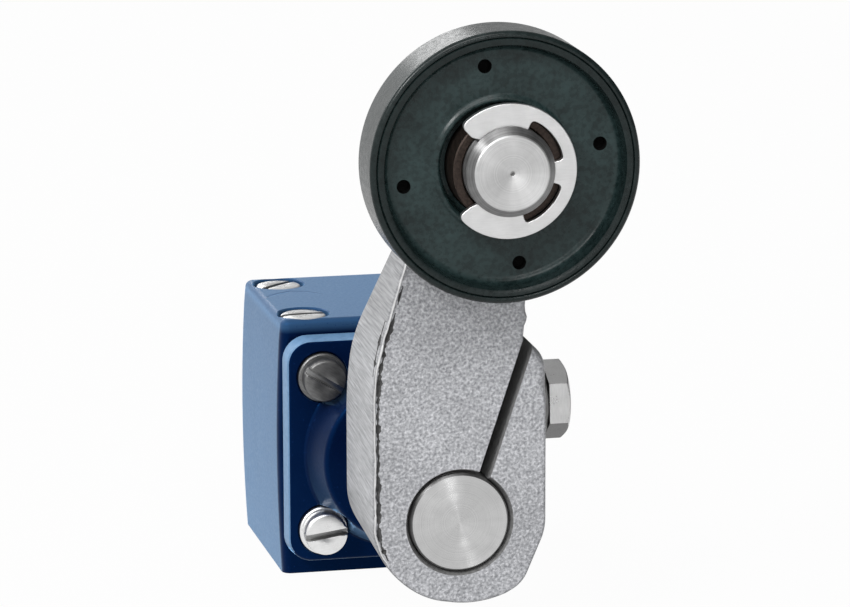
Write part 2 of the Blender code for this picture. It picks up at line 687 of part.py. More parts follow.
def make_bearing():
    """Plain bush and lip seal in the nose of the front plate."""
    bush = [
        (JOURNAL_R + RUN, SEAL_BACK - 2 * SEAT),
        (BUSHING_R, SEAL_BACK - 2 * SEAT),
        (BUSHING_R, LIP_FRONT + SEAT),
        (JOURNAL_R + RUN, LIP_FRONT + SEAT),
    ]
    turned("shaft_bushing", bush, ON_SHAFT, BRONZE)
    seal = [
        (JOURNAL_R + RUN, NOSE_FRONT),
        (SEAL_R, NOSE_FRONT - SEAL_LIP),
        (SEAL_R, SEAL_BACK),
        (JOURNAL_R + RUN, SEAL_BACK),
    ]
    turned("shaft_seal", seal, ON_SHAFT, BLACK_RUBBER)


def make_shaft():
    """Stepped shaft: lever seat, journal, clip groove, cam seat and tail pivot."""
    shoulder = NOSE_FRONT + SHOULDER_GAP
    profile = [
        (0.0, LEVER_FRONT),
        (SHAFT_R - SHAFT_END_CHAMFER, LEVER_FRONT),
        (SHAFT_R, LEVER_FRONT - SHAFT_END_CHAMFER),
        (SHAFT_R, shoulder),
        (JOURNAL_R, shoulder),
        (JOURNAL_R, SHAFT_CLIP_FRONT + SEAT),
        (GROOVE_R, SHAFT_CLIP_FRONT + SEAT),
        (GROOVE_R, SHAFT_CLIP_BACK - SEAT),
        (JOURNAL_R, SHAFT_CLIP_BACK - SEAT),
        (JOURNAL_R, LAND_BACK),
        (SPINDLE_R, LAND_BACK),
        (SPINDLE_R, CAM_FRONT + SEAT),
        (CAM_SEAT_R, CAM_FRONT + SEAT),
        (CAM_SEAT_R, TAIL_FRONT),
        (TAIL_R, TAIL_FRONT),
        (TAIL_R, TAIL_BACK),
        (0.0, TAIL_BACK),
    ]
    shaft = turned("shaft", profile, ON_SHAFT, STEEL)
    combine(shaft, cam_pin_hole("shaft_pin_hole"))
    inner = GROOVE_R + RUN
    half = SHAFT_CLIP_MOUTH / 2
    outline = arc(0.0, 0.0, SHAFT_CLIP_R, -90 + half, 270 - half, ROUND)
    outline += arc(0.0, 0.0, inner, 270 - half, -90 + half, ROUND)
    clip = extruded("shaft_clip", outline, SHAFT_CLIP_BACK, SHAFT_CLIP_FRONT, ON_SHAFT, SPRING_STEEL)
    return [shaft, clip]


def cam_pin_hole(name):
    """Cutter for the cross hole that the cam's pin passes through."""
    reach = CAM_R + OVERCUT
    radius = CAM_PIN_R + RUN
    profile = [(0.0, reach), (radius, reach), (radius, -reach), (0.0, -reach)]
    return turned(name, profile, ON_CAM_PIN, segments=SMALL_ROUND)


def make_cam():
    """Cam whose radius grows evenly with the angle, so the plunger follows the lever evenly."""
    outline = []
    steps = round(2 * CAM_SPAN / CAM_STEP)
    for i in range(steps + 1):
        angle = math.radians(-CAM_SPAN + 2 * CAM_SPAN * i / steps)
        radius = CAM_R + CAM_RATE * angle
        outline.append((radius * math.sin(angle), -radius * math.cos(angle)))
    back = round((360 - 2 * CAM_SPAN) / CAM_STEP)
    for i in range(1, back):
        share = i / back
        angle = math.radians(CAM_SPAN + (360 - 2 * CAM_SPAN) * share)
        radius = CAM_R + CAM_RATE * math.radians(CAM_SPAN) * (1 - 2 * share)
        outline.append((radius * math.sin(angle), -radius * math.cos(angle)))
    cam = extruded("cam", outline, CAM_BACK, CAM_FRONT, ON_SHAFT, STEEL)
    bore_r = CAM_SEAT_R + RUN
    ends = (CAM_FRONT + OVERCUT, CAM_BACK - OVERCUT)
    bore = [(0.0, ends[0]), (bore_r, ends[0]), (bore_r, ends[1]), (0.0, ends[1])]
    combine(cam, turned("cam_bore", bore, ON_SHAFT))
    combine(cam, cam_pin_hole("cam_pin_cut"))
    combine(cam, tang_hole("cam_tang_hole", CAM_FRONT - TANG_DEPTH - SEAT, CAM_FRONT + OVERCUT))
    half = CAM_PIN_LENGTH / 2
    profile = [(0.0, half), (CAM_PIN_R, half), (CAM_PIN_R, -half), (0.0, -half)]
    pin = turned("cam_pin", profile, ON_CAM_PIN, STEEL, SMALL_ROUND)
    return [cam, pin]


def on_coil(length, height):
    """Point of the torsion spring at a length along its curl and a height."""
    angle = math.radians(TANG_ANGLE) + length / TORSION_R
    return Vector((TORSION_R * math.cos(angle), TORSION_R * math.sin(angle), height))


def make_torsion_spring():
    """Coil round the shaft; both ends bend along the shaft into holes in plate and cam."""
    total = 2 * math.pi * TORSION_R * TORSION_TURNS
    count = TORSION_TURNS * CURL_POINTS
    bend = [math.radians(90 * i / CORNER_STEPS) for i in range(CORNER_STEPS + 1)]
    back = [on_coil(0.0, CAM_FRONT - TANG_DEPTH)]
    front = []
    for angle in bend:
        along = TANG_BEND * (1 - math.cos(angle))
        short = TANG_BEND * (1 - math.sin(angle))
        back.append(on_coil(along, TORSION_BACK - short))
        front.append(on_coil(total - short, TORSION_FRONT + along))
    front.append(on_coil(total, PLATE_BACK + TANG_DEPTH))
    coil = []
    for i in range(1, count):
        share = i / count
        coil.append(on_coil(total * share, TORSION_BACK + (TORSION_FRONT - TORSION_BACK) * share))
    tell_least_gap("torsion_spring", coil, TORSION_WIRE_R)
    wire("torsion_spring", back + coil + front, TORSION_WIRE_R, ON_SHAFT, SPRING_STEEL)


def make_plunger():
    """Domed plunger with its guide bush and return spring."""
    collar_top = PLUNGER_COLLAR + PLUNGER_RIM
    dome = arc(0.0, 0.0, 1.0, 0, 90, CORNER_STEPS)
    profile = [(PLUNGER_HEAD_R * across, collar_top + PLUNGER_DOME * up) for across, up in dome]
    profile[-1] = (0.0, PLUNGER_TOP)
    profile = profile[::-1]
    profile += [
        (PLUNGER_HEAD_R, PLUNGER_COLLAR),
        (PLUNGER_R, PLUNGER_COLLAR),
        (PLUNGER_R, PLUNGER_FOOT + PLUNGER_CHAMFER),
        (PLUNGER_R - PLUNGER_CHAMFER, PLUNGER_FOOT),
        (0.0, PLUNGER_FOOT),
    ]
    plunger = turned("plunger", profile, ON_PLUNGER, STEEL)
    guide = [
        (GUIDE_HOLE_R, GUIDE_TOP),
        (GUIDE_SLEEVE_R, GUIDE_TOP),
        (GUIDE_SLEEVE_R, GUIDE_FLANGE_TOP),
        (GUIDE_FLANGE_R, GUIDE_FLANGE_TOP),
        (GUIDE_FLANGE_R, GUIDE_LOW),
        (GUIDE_HOLE_R, GUIDE_LOW),
    ]
    turned("plunger_guide", guide, ON_PLUNGER, BRONZE)
    coil = helix(RETURN_R, RETURN_LOW, RETURN_HIGH, RETURN_TURNS, 0.0)
    tell_least_gap("return_spring", coil, RETURN_WIRE_R)
    wire("return_spring", coil, RETURN_WIRE_R, ON_PLUNGER, SPRING_STEEL)
    return [plunger]


def tangent_point(point, centre, radius, side):
    """Where a line from a point touches a circle, on its left (1) or right (-1) side."""
    to_centre = Vector(centre) - Vector(point)
    length = math.sqrt(to_centre.length_squared - radius * radius)
    swing = math.asin(radius / to_centre.length) * side
    direction = to_centre.normalized()
    turned_x = direction.x * math.cos(swing) - direction.y * math.sin(swing)
    turned_y = direction.x * math.sin(swing) + direction.y * math.cos(swing)
    return (point[0] + turned_x * length, point[1] + turned_y * length)


def eased(start, corner, stop):
    """Points of a curve that leaves its start toward a corner and reaches its stop from there."""
    start, corner, stop = Vector(start), Vector(corner), Vector(stop)
    shares = [i / CORNER_STEPS for i in range(CORNER_STEPS + 1)]
    return [tuple(start.lerp(corner, t).lerp(corner.lerp(stop, t), t)) for t in shares]


def lever_outline(draft, bend_up):
    """Outline of the lever, counterclockwise from the bottom of the hub; draft widens its left side."""
    end = (AXLE_X, AXLE_UP)
    right_foot = (ARM_RIGHT, ARM_RIGHT_UP)
    left_bend = Vector((-HUB_R - draft, bend_up))
    right_touch = tangent_point(right_foot, end, ARM_END_R, -1)
    left_touch = tangent_point(left_bend, end, ARM_END_R, 1)
    first = math.degrees(math.atan2(right_touch[1] - end[1], right_touch[0] - end[0]))
    last = math.degrees(math.atan2(left_touch[1] - end[1], left_touch[0] - end[0])) % 360
    points = arc(JAW_EXTRA, FOOT_R - HUB_R, FOOT_R, 270, 270 + FOOT_SWEEP, 2 * CORNER_STEPS)
    points.append((JAW_REACH, -FACET_TOP))
    shoulder = (JAW_REACH - JAW_SHOULDER, JAW_TOP - JAW_SHOULDER)
    points += arc(*shoulder, JAW_SHOULDER, 0, JAW_SWEEP, CORNER_STEPS)
    points.append(right_foot)
    points += arc(*end, ARM_END_R, first, last, 4 * CORNER_STEPS)
    toward_end = (Vector(left_touch) - left_bend).normalized()
    above = left_bend + toward_end * ARM_BEND_ROUND
    points += eased(above, left_bend, left_bend - Vector((0.0, ARM_BEND_ROUND)))
    points += arc(-draft, 0.0, HUB_R, 180, 270, 3 * CORNER_STEPS)
    return points


def lever_side():
    """Side view of the lever as (up, forward) points: thick hub, arm tapering from behind."""
    low = -HUB_R - OVERCUT
    high = AXLE_UP + ARM_END_R + OVERCUT
    front = LEVER_FRONT + OVERCUT
    slope = (ARM_BACK - LEVER_BACK) / (ARM_TAPER_HIGH - ARM_TAPER_LOW)
    blend_low = (ARM_TAPER_LOW - ARM_TAPER_BLEND, LEVER_BACK)
    blend_high = (ARM_TAPER_LOW + ARM_TAPER_BLEND, LEVER_BACK + slope * ARM_TAPER_BLEND)
    points = [(low, LEVER_BACK)] + eased(blend_low, (ARM_TAPER_LOW, LEVER_BACK), blend_high)
    points += [(ARM_TAPER_HIGH, ARM_BACK), (high, ARM_BACK), (high, front), (low, front)]
    return points


def make_lever():
    """Cast lever: split clamp hub, arm, bore for the shaft, bolt hole and axle hole."""
    rear = lever_outline(0.0, ARM_BEND_UP + ARM_BEND_RISE)
    outline = lever_outline(LEVER_DRAFT, ARM_BEND_UP)
    loops = [at_height(rear, LEVER_BACK - OVERCUT)]
    for edge_inset, drop in edge_rounding(LEVER_EDGE):
        loops.append(at_height(inset(outline, edge_inset), LEVER_FRONT - drop))
    lever = lofted("lever", loops, ON_SHAFT, CAST_METAL)
    reach = JAW_REACH + HUB_R
    side = lever_side()
    slabs = [[(x, up, forward) for up, forward in side] for x in (-reach, reach)]
    combine(lever, lofted("lever_side_form", slabs, ON_SHAFT), "INTERSECT")
    mouth = LEVER_BORE_R + LEVER_BORE_CHAMFER
    bore = [
        (0.0, LEVER_FRONT + OVERCUT),
        (mouth + OVERCUT, LEVER_FRONT + OVERCUT),
        (LEVER_BORE_R, LEVER_FRONT - LEVER_BORE_CHAMFER),
        (LEVER_BORE_R, LEVER_BACK - OVERCUT),
        (0.0, LEVER_BACK - OVERCUT),
    ]
    combine(lever, turned("lever_bore", bore, ON_SHAFT))
    tilt = math.radians(SPLIT_TILT)
    along = Vector((math.sin(tilt), math.cos(tilt)))
    across = Vector((math.cos(tilt), -math.sin(tilt)))
    near = along * (LEVER_BORE_R / 2)
    far = along * (JAW_TOP + HUB_R)
    left = across * (SPLIT_OFFSET - SPLIT_WIDTH / 2)
    right = across * (SPLIT_OFFSET + SPLIT_WIDTH / 2)
    gap = [tuple(near + left), tuple(near + right), tuple(far + right), tuple(far + left)]
    low = LEVER_BACK - OVERCUT
    combine(lever, extruded("lever_split", gap, low, LEVER_FRONT + OVERCUT, ON_SHAFT))
    tip = BOLT_SEAT - BOLT_LENGTH - SEAT
    outside = JAW_REACH + OVERCUT
    hole = [(0.0, outside), (BOLT_HOLE_R, outside), (BOLT_HOLE_R, tip), (0.0, tip)]
    combine(lever, turned("bolt_hole", hole, ON_BOLT, segments=SMALL_ROUND))
    ends = (LEVER_FRONT + OVERCUT, ARM_BACK - OVERCUT)
    radius = AXLE_SHANK_R + RUN
    hole = [(0.0, ends[0]), (radius, ends[0]), (radius, ends[1]), (0.0, ends[1])]
    combine(lever, turned("axle_hole", hole, ON_AXLE, segments=SMALL_ROUND))
    return [lever]


def make_clamp_bolt():
    """Hexagon bolt across the split, with a washer under its head."""
    corner_r = BOLT_FLATS / math.sqrt(3.0)
    end = BOLT_SEAT + BOLT_HEAD
    head = [
        (0.0, end),
        (corner_r - 2 * BOLT_CHAMFER, end),
        (corner_r, end - BOLT_CHAMFER),
        (corner_r, BOLT_SEAT),
        (0.0, BOLT_SEAT),
    ]
    bolt = turned("clamp_bolt", head, ON_BOLT, STEEL, segments=HEX_SIDES, start=BOLT_SPIN)
    tip = BOLT_SEAT - BOLT_LENGTH
    inside = BOLT_SEAT + BOLT_HEAD / 2
    shank = [
        (0.0, inside),
        (BOLT_R, inside),
        (BOLT_R, tip + BOLT_CHAMFER),
        (BOLT_R - BOLT_CHAMFER, tip),
        (0.0, tip),
    ]
    combine(bolt, turned("bolt_shank", shank, ON_BOLT, segments=SMALL_ROUND), "UNION")
    hole_r = BOLT_R + RUN
    face = WASHER_FACE + WASHER_THICKNESS
    ring = [(hole_r, face), (WASHER_R, face), (WASHER_R, WASHER_FACE), (hole_r, WASHER_FACE)]
    washer = turned("clamp_washer", ring, ON_BOLT, STEEL)
    return [bolt, washer]


def make_roller():
    """Moulded roller with a raised rim, a lip round its recessed hub, and its bush."""
    rim_inner = ROLLER_R - ROLLER_RIM
    tread = ROLLER_R
    hub_floor = WEB_FRONT - HUB_RECESS
    back_web = ROLLER_BACK + BACK_RECESS
    profile = [
        (tread - ROLLER_EDGE, ROLLER_FRONT),
        (tread - ROLLER_EDGE / 4, ROLLER_FRONT - ROLLER_EDGE / 4),
        (tread, ROLLER_FRONT - ROLLER_EDGE),
        (tread, ROLLER_BACK + ROLLER_EDGE),
        (tread - ROLLER_EDGE / 4, ROLLER_BACK + ROLLER_EDGE / 4),
        (tread - ROLLER_EDGE, ROLLER_BACK),
        (rim_inner, ROLLER_BACK),
        (rim_inner - ROLLER_STEP, back_web),
        (BACK_HUB_R + ROLLER_STEP, back_web),
        (BACK_HUB_R, ROLLER_BACK),
        (ROLLER_BORE_R, ROLLER_BACK),
        (ROLLER_BORE_R, hub_floor),
        (HUB_RECESS_R - ROLLER_STEP, hub_floor),
        (HUB_RECESS_R, WEB_FRONT + HUB_LIP / 2),
        (HUB_RECESS_R + HUB_LIP_WIDTH / 3, WEB_FRONT + HUB_LIP),
        (HUB_RECESS_R + HUB_LIP_WIDTH, WEB_FRONT),
        (rim_inner - 2 * ROLLER_STEP, WEB_FRONT),
        (rim_inner - ROLLER_STEP, WEB_FRONT + ROLLER_STEP),
        (rim_inner, ROLLER_FRONT - ROLLER_STEP),
        (rim_inner + ROLLER_STEP, ROLLER_FRONT),
    ]
    roller = turned("roller", profile, ON_AXLE, ROLLER_PLASTIC, ROLLER_ROUND)
    for number in range(DIMPLE_COUNT):
        angle = math.radians(DIMPLE_ANGLE + 360 * number / DIMPLE_COUNT)
        offset = Vector((math.cos(angle), 0.0, math.sin(angle))) * DIMPLE_CIRCLE_R
        floor = WEB_FRONT - DIMPLE_DEPTH
        dimple = [
            (0.0, WEB_FRONT + DIMPLE_DEPTH),
            (DIMPLE_R, WEB_FRONT + DIMPLE_DEPTH),
            (DIMPLE_R, floor),
            (0.0, floor),
        ]
        place = (AXLE_POINT + offset, FRONT_TURN)
        combine(roller, turned(f"dimple_{number + 1}", dimple, place, segments=SMALL_ROUND))
    inner = AXLE_R + RUN
    back = ROLLER_BACK + SEAT
    face = ROLLER_BUSH_FRONT
    ring = [(inner, face), (ROLLER_BUSH_R, face), (ROLLER_BUSH_R, back), (inner, back)]
    bush = turned("roller_bush", ring, ON_AXLE, BRONZE)
    return [roller, bush]


def make_axle():
    """Axle riveted into the arm, with a groove for the clip, and its thrust washer."""
    rivet_seat = ARM_BACK - SEAT
    shoulder = LEVER_FRONT + SEAT
    groove_r = AXLE_R - CLIP_GROOVE
    profile = [
        (0.0, AXLE_FRONT),
        (AXLE_R - AXLE_CHAMFER, AXLE_FRONT),
        (AXLE_R, AXLE_FRONT - AXLE_CHAMFER),
        (AXLE_R, CLIP_FRONT + SEAT),
        (groove_r, CLIP_FRONT + SEAT),
        (groove_r, CLIP_BACK - SEAT),
        (AXLE_R, CLIP_BACK - SEAT),
        (AXLE_R, shoulder),
        (AXLE_SHANK_R, shoulder),
        (AXLE_SHANK_R, rivet_seat),
        (RIVET_R, rivet_seat),
        (RIVET_R, rivet_seat - RIVET_HEIGHT / 2),
        (RIVET_R - RIVET_HEIGHT, rivet_seat - RIVET_HEIGHT),
        (0.0, rivet_seat - RIVET_HEIGHT),
    ]
    axle = turned("roller_axle", profile, ON_AXLE, STEEL)
    inner = AXLE_R + RUN
    face = THRUST_BACK + THRUST_THICKNESS
    ring = [(inner, face), (THRUST_R, face), (THRUST_R, THRUST_BACK), (inner, THRUST_BACK)]
    washer = turned("thrust_washer", ring, ON_AXLE, STEEL)
    return [axle, washer]


def clip_outline():
    """Outline of the clip: open to the left, with two curved slots next to its middle lobe."""
    first, last = CLIP_MOUTH
    slot_r = AXLE_R + CLIP_SLOT
    upper, lower = CLIP_SLOTS
    tip = math.degrees(CLIP_TIP / CLIP_R)
    points = arc(0.0, 0.0, CLIP_R, last - 360 + tip, first - tip, ROUND)
    points.append(polar(CLIP_R - CLIP_TIP, first))
    points += arc(0.0, 0.0, CLIP_BORE_R, first, upper[1], CORNER_STEPS)
    points += arc(0.0, 0.0, slot_r, upper[1], upper[0], CORNER_STEPS)
    points += arc(0.0, 0.0, CLIP_BORE_R, upper[0], lower[1], CORNER_STEPS)
    points += arc(0.0, 0.0, slot_r, lower[1], lower[0], CORNER_STEPS)
    points += arc(0.0, 0.0, CLIP_BORE_R, lower[0], last - 360, CORNER_STEPS)
    points.append(polar(CLIP_R - CLIP_TIP, last))
    return points


def make_clip():
    """Flat retaining clip in the axle's groove."""
    return [extruded("e_clip", clip_outline(), CLIP_BACK, CLIP_FRONT, ON_AXLE, STEEL)]


def carry(name, point, pieces, parent=None):
    """Hang moving pieces on an empty that stands on their joint's axis."""
    axis = bpy.data.objects.new(name, None)
    bpy.context.scene.collection.objects.link(axis)
    axis.location = point
    if parent is not None:
        axis.parent = parent
        axis.location = point - parent.location
    for piece in pieces:
        piece.parent = axis
        piece.matrix_parent_inverse = Matrix.Translation(point).inverted()
    return axis


def main():
    for old in list(bpy.data.objects):
        bpy.data.objects.remove(old, do_unlink=True)
    make_housing()
    make_head_screws()
    make_gasket()
    make_front_plate()
    make_plate_screws()
    make_bearing()
    make_torsion_spring()
    swinging = make_shaft() + make_cam() + make_lever() + make_clamp_bolt() + make_axle() + make_clip()
    lever_axis = carry("lever_axis", SHAFT_POINT, swinging)
    carry("roller_axis", AXLE_POINT, make_roller(), lever_axis)
    carry("plunger_axis", PLUNGER_POINT, make_plunger())


main()
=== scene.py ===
import math

import bmesh
import bpy
from mathutils import Matrix, Vector, noise


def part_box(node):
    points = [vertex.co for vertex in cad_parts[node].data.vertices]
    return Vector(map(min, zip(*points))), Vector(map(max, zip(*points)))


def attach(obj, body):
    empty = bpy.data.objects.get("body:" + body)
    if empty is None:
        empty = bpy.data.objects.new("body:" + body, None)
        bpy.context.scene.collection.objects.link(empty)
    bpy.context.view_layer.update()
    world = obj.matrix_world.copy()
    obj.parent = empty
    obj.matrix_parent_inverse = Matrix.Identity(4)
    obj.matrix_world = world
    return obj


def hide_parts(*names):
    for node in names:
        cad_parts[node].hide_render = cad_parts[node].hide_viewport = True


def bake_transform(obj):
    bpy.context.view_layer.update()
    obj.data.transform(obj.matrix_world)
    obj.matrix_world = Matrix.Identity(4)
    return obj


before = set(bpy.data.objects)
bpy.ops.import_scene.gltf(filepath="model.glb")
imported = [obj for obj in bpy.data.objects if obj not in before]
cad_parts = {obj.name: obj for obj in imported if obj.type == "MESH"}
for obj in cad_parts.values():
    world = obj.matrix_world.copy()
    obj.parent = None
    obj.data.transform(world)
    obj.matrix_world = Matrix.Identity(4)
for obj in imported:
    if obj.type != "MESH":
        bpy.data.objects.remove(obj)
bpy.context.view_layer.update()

# Sizes in millimetres; places come from the boxes of the CAD nodes.
# Cutters stand out by CUT, or by OVER where they flare; seats are wider by FIT.
MM = 0.001
CUT, OVER, FIT = 3.0, 1.0, 0.1


def corners_of(node):
    """Lowest and highest corner of a CAD node."""
    low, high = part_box(node)
    return low / MM, high / MM


def centre_of(node):
    low, high = corners_of(node)
    return (low + high) / 2


def span_of(node, axis):
    """Where a CAD node starts and ends along x, y or z."""
    return tuple(corner["xyz".index(axis)] for corner in corners_of(node))


def depth_of(node):
    """Where a CAD node starts and ends, measured forward from the housing's face."""
    back, ahead = span_of(node, "y")
    return -HALF_DEPTH - ahead, -HALF_DEPTH - back


def radius_of(node, axis="x"):
    """Half the width of a round CAD node."""
    low, high = span_of(node, axis)
    return (high - low) / 2


# Housing and its screws
HALF_WIDTH, HALF_DEPTH, HEAD_HEIGHT = corners_of("head_housing")[1]
HEAD_CORNER, HEAD_TOP_ROUND = 1.0, 0.7
DRAFT_TOP, DRAFT_BOTTOM, DRAFT_FRONT = 0.5, 0.45, 0.36
# Heights of the painted highlight band along the top of the block
PAINTED_LIGHT_LOW, PAINTED_LIGHT_HIGH = HEAD_HEIGHT - 1.5, HEAD_HEIGHT - 0.8
SHAFT_HEIGHT = centre_of("shaft").z
SHAFT_R, SHAFT_BACK = radius_of("shaft"), depth_of("shaft")[0]
POCKET_HALF, POCKET_RISE, POCKET_CORNER = 6.95, 8.8, 3.0
POCKET_FLOOR, PIVOT_FLOOR = depth_of("head_housing")[0] + 4.0, SHAFT_BACK - 0.2
PIVOT_HOLE_R, PLUNGER_HOLE_R, GUIDE_HOLE_TOP = 2.0, 2.4, 7.0
HEAD_SCREW_R, HEAD_SCREW_HEIGHT, SCREW_SHANK_R = 2.5, 1.5, 1.1
HEAD_SCREW_TURNS = (40.0, -25.0, 4.0, 70.0)
HEAD_SCREW_TIP, HEAD_SCREW_TOP = span_of("head_screw_1", "z")
HEAD_SCREW_SEAT = HEAD_SCREW_TOP - HEAD_SCREW_HEIGHT
HOLE_ROOM = 0.25
SCREW_HOLE_R = SCREW_SHANK_R + HOLE_ROOM
COUNTERBORE_R, COUNTERBORE_EDGE = 2.85, 0.12
SCREW_EDGE, SCREW_CROWN, SCREW_TIP_EDGE = 0.35, 0.06, 0.2
SLOT_DEPTH, SLOT_SIDES = 0.75, (-0.37, -0.33, 0.35, 0.36)
TOP_ARC = ((-12.2, 0.5), (-11.4, 1.6), (-10.1, 2.8), (-8.8, 3.5), (-7.2, 3.0), (-5.6, 1.3))
TOP_ARC_WIDTH, TOP_ARC_DEPTH = 0.3, 0.045

# Front plate and its screws; the boss's foot is given as radius and height over the plate
PLATE_BACK, NOSE_FRONT = depth_of("front_plate")
PLATE_HALF = span_of("front_plate", "x")[1]
PLATE_BOTTOM, PLATE_TOP = [height - SHAFT_HEIGHT for height in span_of("front_plate", "z")]
PLATE_FRONT = PLATE_BACK + 2.3
PLATE_CORNER, PLATE_DRAFT, PLATE_EDGE = 2.7, 0.15, 0.35
# Width and start of the plate's rim that is painted lighter, a painted highlight
HIGHLIGHT_RIM_WIDTH, HIGHLIGHT_RIM_START = 0.6, PLATE_BACK + 0.2
NOSE_R, NOSE_ROUND, NOSE_FILLET = 6.5, 0.6, 0.3
BOSS_R, BOSS_ROUND, BOSS_TAPER = 9.2, 0.6, 16
BOSS_FRONT, BOSS_ROOT = PLATE_FRONT + 4.0, PLATE_FRONT - 1.2
BOSS_FOOT = ((10.3, 0.5), (10.45, 0.15), (10.7, -0.05))
PLATE_SCREW_R, PLATE_SCREW_HEIGHT = 2.3, 2.6
PLATE_COLLAR_R, PLATE_COLLAR_HEIGHT, PLATE_COLLAR_EDGE = 2.65, 0.8, 0.15
PLATE_RECESS_R = PLATE_COLLAR_R + 0.2
PLATE_SCREW_TURNS = (-32.0, 55.0, 8.0, 20.0)
PLATE_SCREW_TIP, PLATE_SCREW_FRONT = depth_of("plate_screw_1")
PLATE_SCREW_SEAT = PLATE_SCREW_FRONT - PLATE_SCREW_HEIGHT

# Shaft; its end is given as radius and height from the front
JOURNAL_R, SHAFT_GROOVE_R, WAIST_R, CAM_SEAT_R, PIVOT_R = 4.0, 3.4, 3.2, 2.6, 1.9
SHAFT_SHOULDER, JOURNAL_END = NOSE_FRONT + 0.6, -1.0
SHAFT_END, SHAFT_END_DEPTH = ((4.91, 0.0), (4.96, -0.05), (5.07, -0.2)), 0.3
SHAFT_FACE_R = 4.93
PIN_HOLE_R, PIN_HOLE_REACH = 0.85, 7.0

# Lever; its bends are given as height and reach, the arm's right edge as x, up and share of the lip
LEVER_BACK, LEVER_FRONT = depth_of("lever")
ARM_BACK, ARM_END_R = LEVER_FRONT - 6.0, 5.0
ARM_RIGHT = (
    (6.62, 19.05, 0.0), (6.66, 19.4, 0.0), (6.72, 20.1, 0.0), (6.76, 20.6, 0.7),
    (6.78, 21.05, 1.0), (6.78, 21.6, 0.3), (6.8, 22.2, 0.0),
)
FRONT_LIP, FRONT_BEND, REAR_BEND = 0.25, (16.3, 4.0), (17.3, 3.0)
TAPER_START, TAPER_END, TAPER_EASE = 10.5, 28.5, 3.0
HUB_R, HUB_FLAT = SHAFT_HEIGHT - span_of("lever", "z")[0], 0.03
LEVER_LEFT, JAW_REACH = span_of("lever", "x")
LEVER_DRAFT = -LEVER_LEFT - HUB_R
JAW_TOP, JAW_SHOULDER = 18.5, 3.1
FOOT_X, FOOT_R, FOOT_START, FOOT_END, FOOT_DROP = 0.9, 10.6, 262, 292, 0.2
FACET_LOW, FACET_TOP = (6.6, -6.9), -1.3
FACET_LOW_BEND, FACET_TOP_BEND = 1.3, 1.2
EDGE_ROUND, SHOULDER_ROUND, REAR_ROUND = 0.35, 0.9, 0.25
SHOULDER_WIDTH, SHOULDER_DROP = 2.0, 5.0
LEVER_BORE_R = SHAFT_R + FIT
MOUTH_WIDTH, MOUTH_DEPTH, MOUTH_EDGE = 0.4, 0.9, 0.04
SPLIT_TILT, SPLIT_SIDE, SPLIT_HALF = 18.4, 0.94, 0.65
SPLIT_START, SPLIT_END = 2.6, 27.0
# Heights between which the lever's sides darken as painted shade: going up the arm, and going down the
# hub
SHADE_TOP, SHADE_FOOT = (17.0, 21.0), (-1.5, 2.5)

# Casting flash and the dark lines beside it, between heights along the lever's left edge
FLASH_SPAN, FLASH_INSET, FLASH_SINK = (-4.0, 34.0), 0.24, 0.04
FLASH_WIDTH, FLASH_HEIGHT, FLASH_RISE = 0.1, 0.08, 0.14
INNER_SEED, OUTER_SEED = 2.0, 5.0
INNER_SPANS, INNER_INSET, INNER_SIZE = ((-3.8, 22.2), (22.9, 25.2), (26.5, 29.5)), 0.55, (0.3, 0.26)
OUTER_SPAN, OUTER_SINK, OUTER_SIZE = (15.4, 21.4), 0.75, (0.8, 0.34)
STATION_STEP, FADE_POINTS = 0.3, 6.0

# Clamp bolt; the cone of its head is given as radius and height over the end
WASHER_FACE, WASHER_END = span_of("clamp_washer", "x")
WASHER_R, WASHER_EDGE = radius_of("clamp_washer", "z"), 0.15
BOLT_TIP, BOLT_END = span_of("clamp_bolt", "x")
BOLT_SEAT = WASHER_END + FIT
BOLT_R, BOLT_CHAMFER = 2.0, 0.4
HEX_WIDTH, HEX_TURN, HEX_FLAT_R = 7.2, -5.5, 3.0
BOLT_CONE = ((2.0, 1.0), (3.5, 0.0), (5.6, -1.15))

# Roller and bush; the rows are radius or shift, and height from the back, the web or the front
AXLE_X, AXLE_UP = centre_of("roller_axle").x, centre_of("roller_axle").z - SHAFT_HEIGHT
ROLLER_R = span_of("roller", "x")[1] - AXLE_X
ROLLER_BACK, ROLLER_FRONT = depth_of("roller")
RIM_R = ROLLER_R - 1.45
WEB_FRONT = ROLLER_FRONT - 1.9
HUB_FLOOR = WEB_FRONT - 1.2
TREAD_ROUND, WEB_FILLET, WEB_FILLET_INSET = 0.5, 0.85, 1.0
BACK_RIM = ((0.15, 0.0), (0.0, 0.15), (-0.2, 1.15), (-0.4, 1.3))
BACK_HUB = ((8.8, 1.3), (8.6, 1.15), (8.5, 0.15), (8.35, 0.0))
HUB_LIP = ((6.0, 0.0), (6.12, 0.12))
HUB_BEAD = (
    (6.3, 0.02), (6.36, 0.2), (6.47, 0.31), (6.62, 0.35),
    (6.78, 0.31), (6.93, 0.2), (7.06, 0.08), (7.25, 0.0),
)
RIM_EDGE = ((-0.03, -0.3), (0.06, -0.08), (0.25, 0.0))
TREAD_LINE = ((-0.78, 0.0), (-0.68, -0.2), (-0.6, -0.04))
DIMPLE_RING, DIMPLE_TURN = 10.1, 10.0
DIMPLE = ((0.8, 0.35), (0.7, -0.02), (0.62, -1.0), (0.3, -1.1))
BUSH_R = radius_of("roller_bush")
BUSH_BACK, BUSH_FRONT = depth_of("roller_bush")
BUSH_EDGE = 0.12

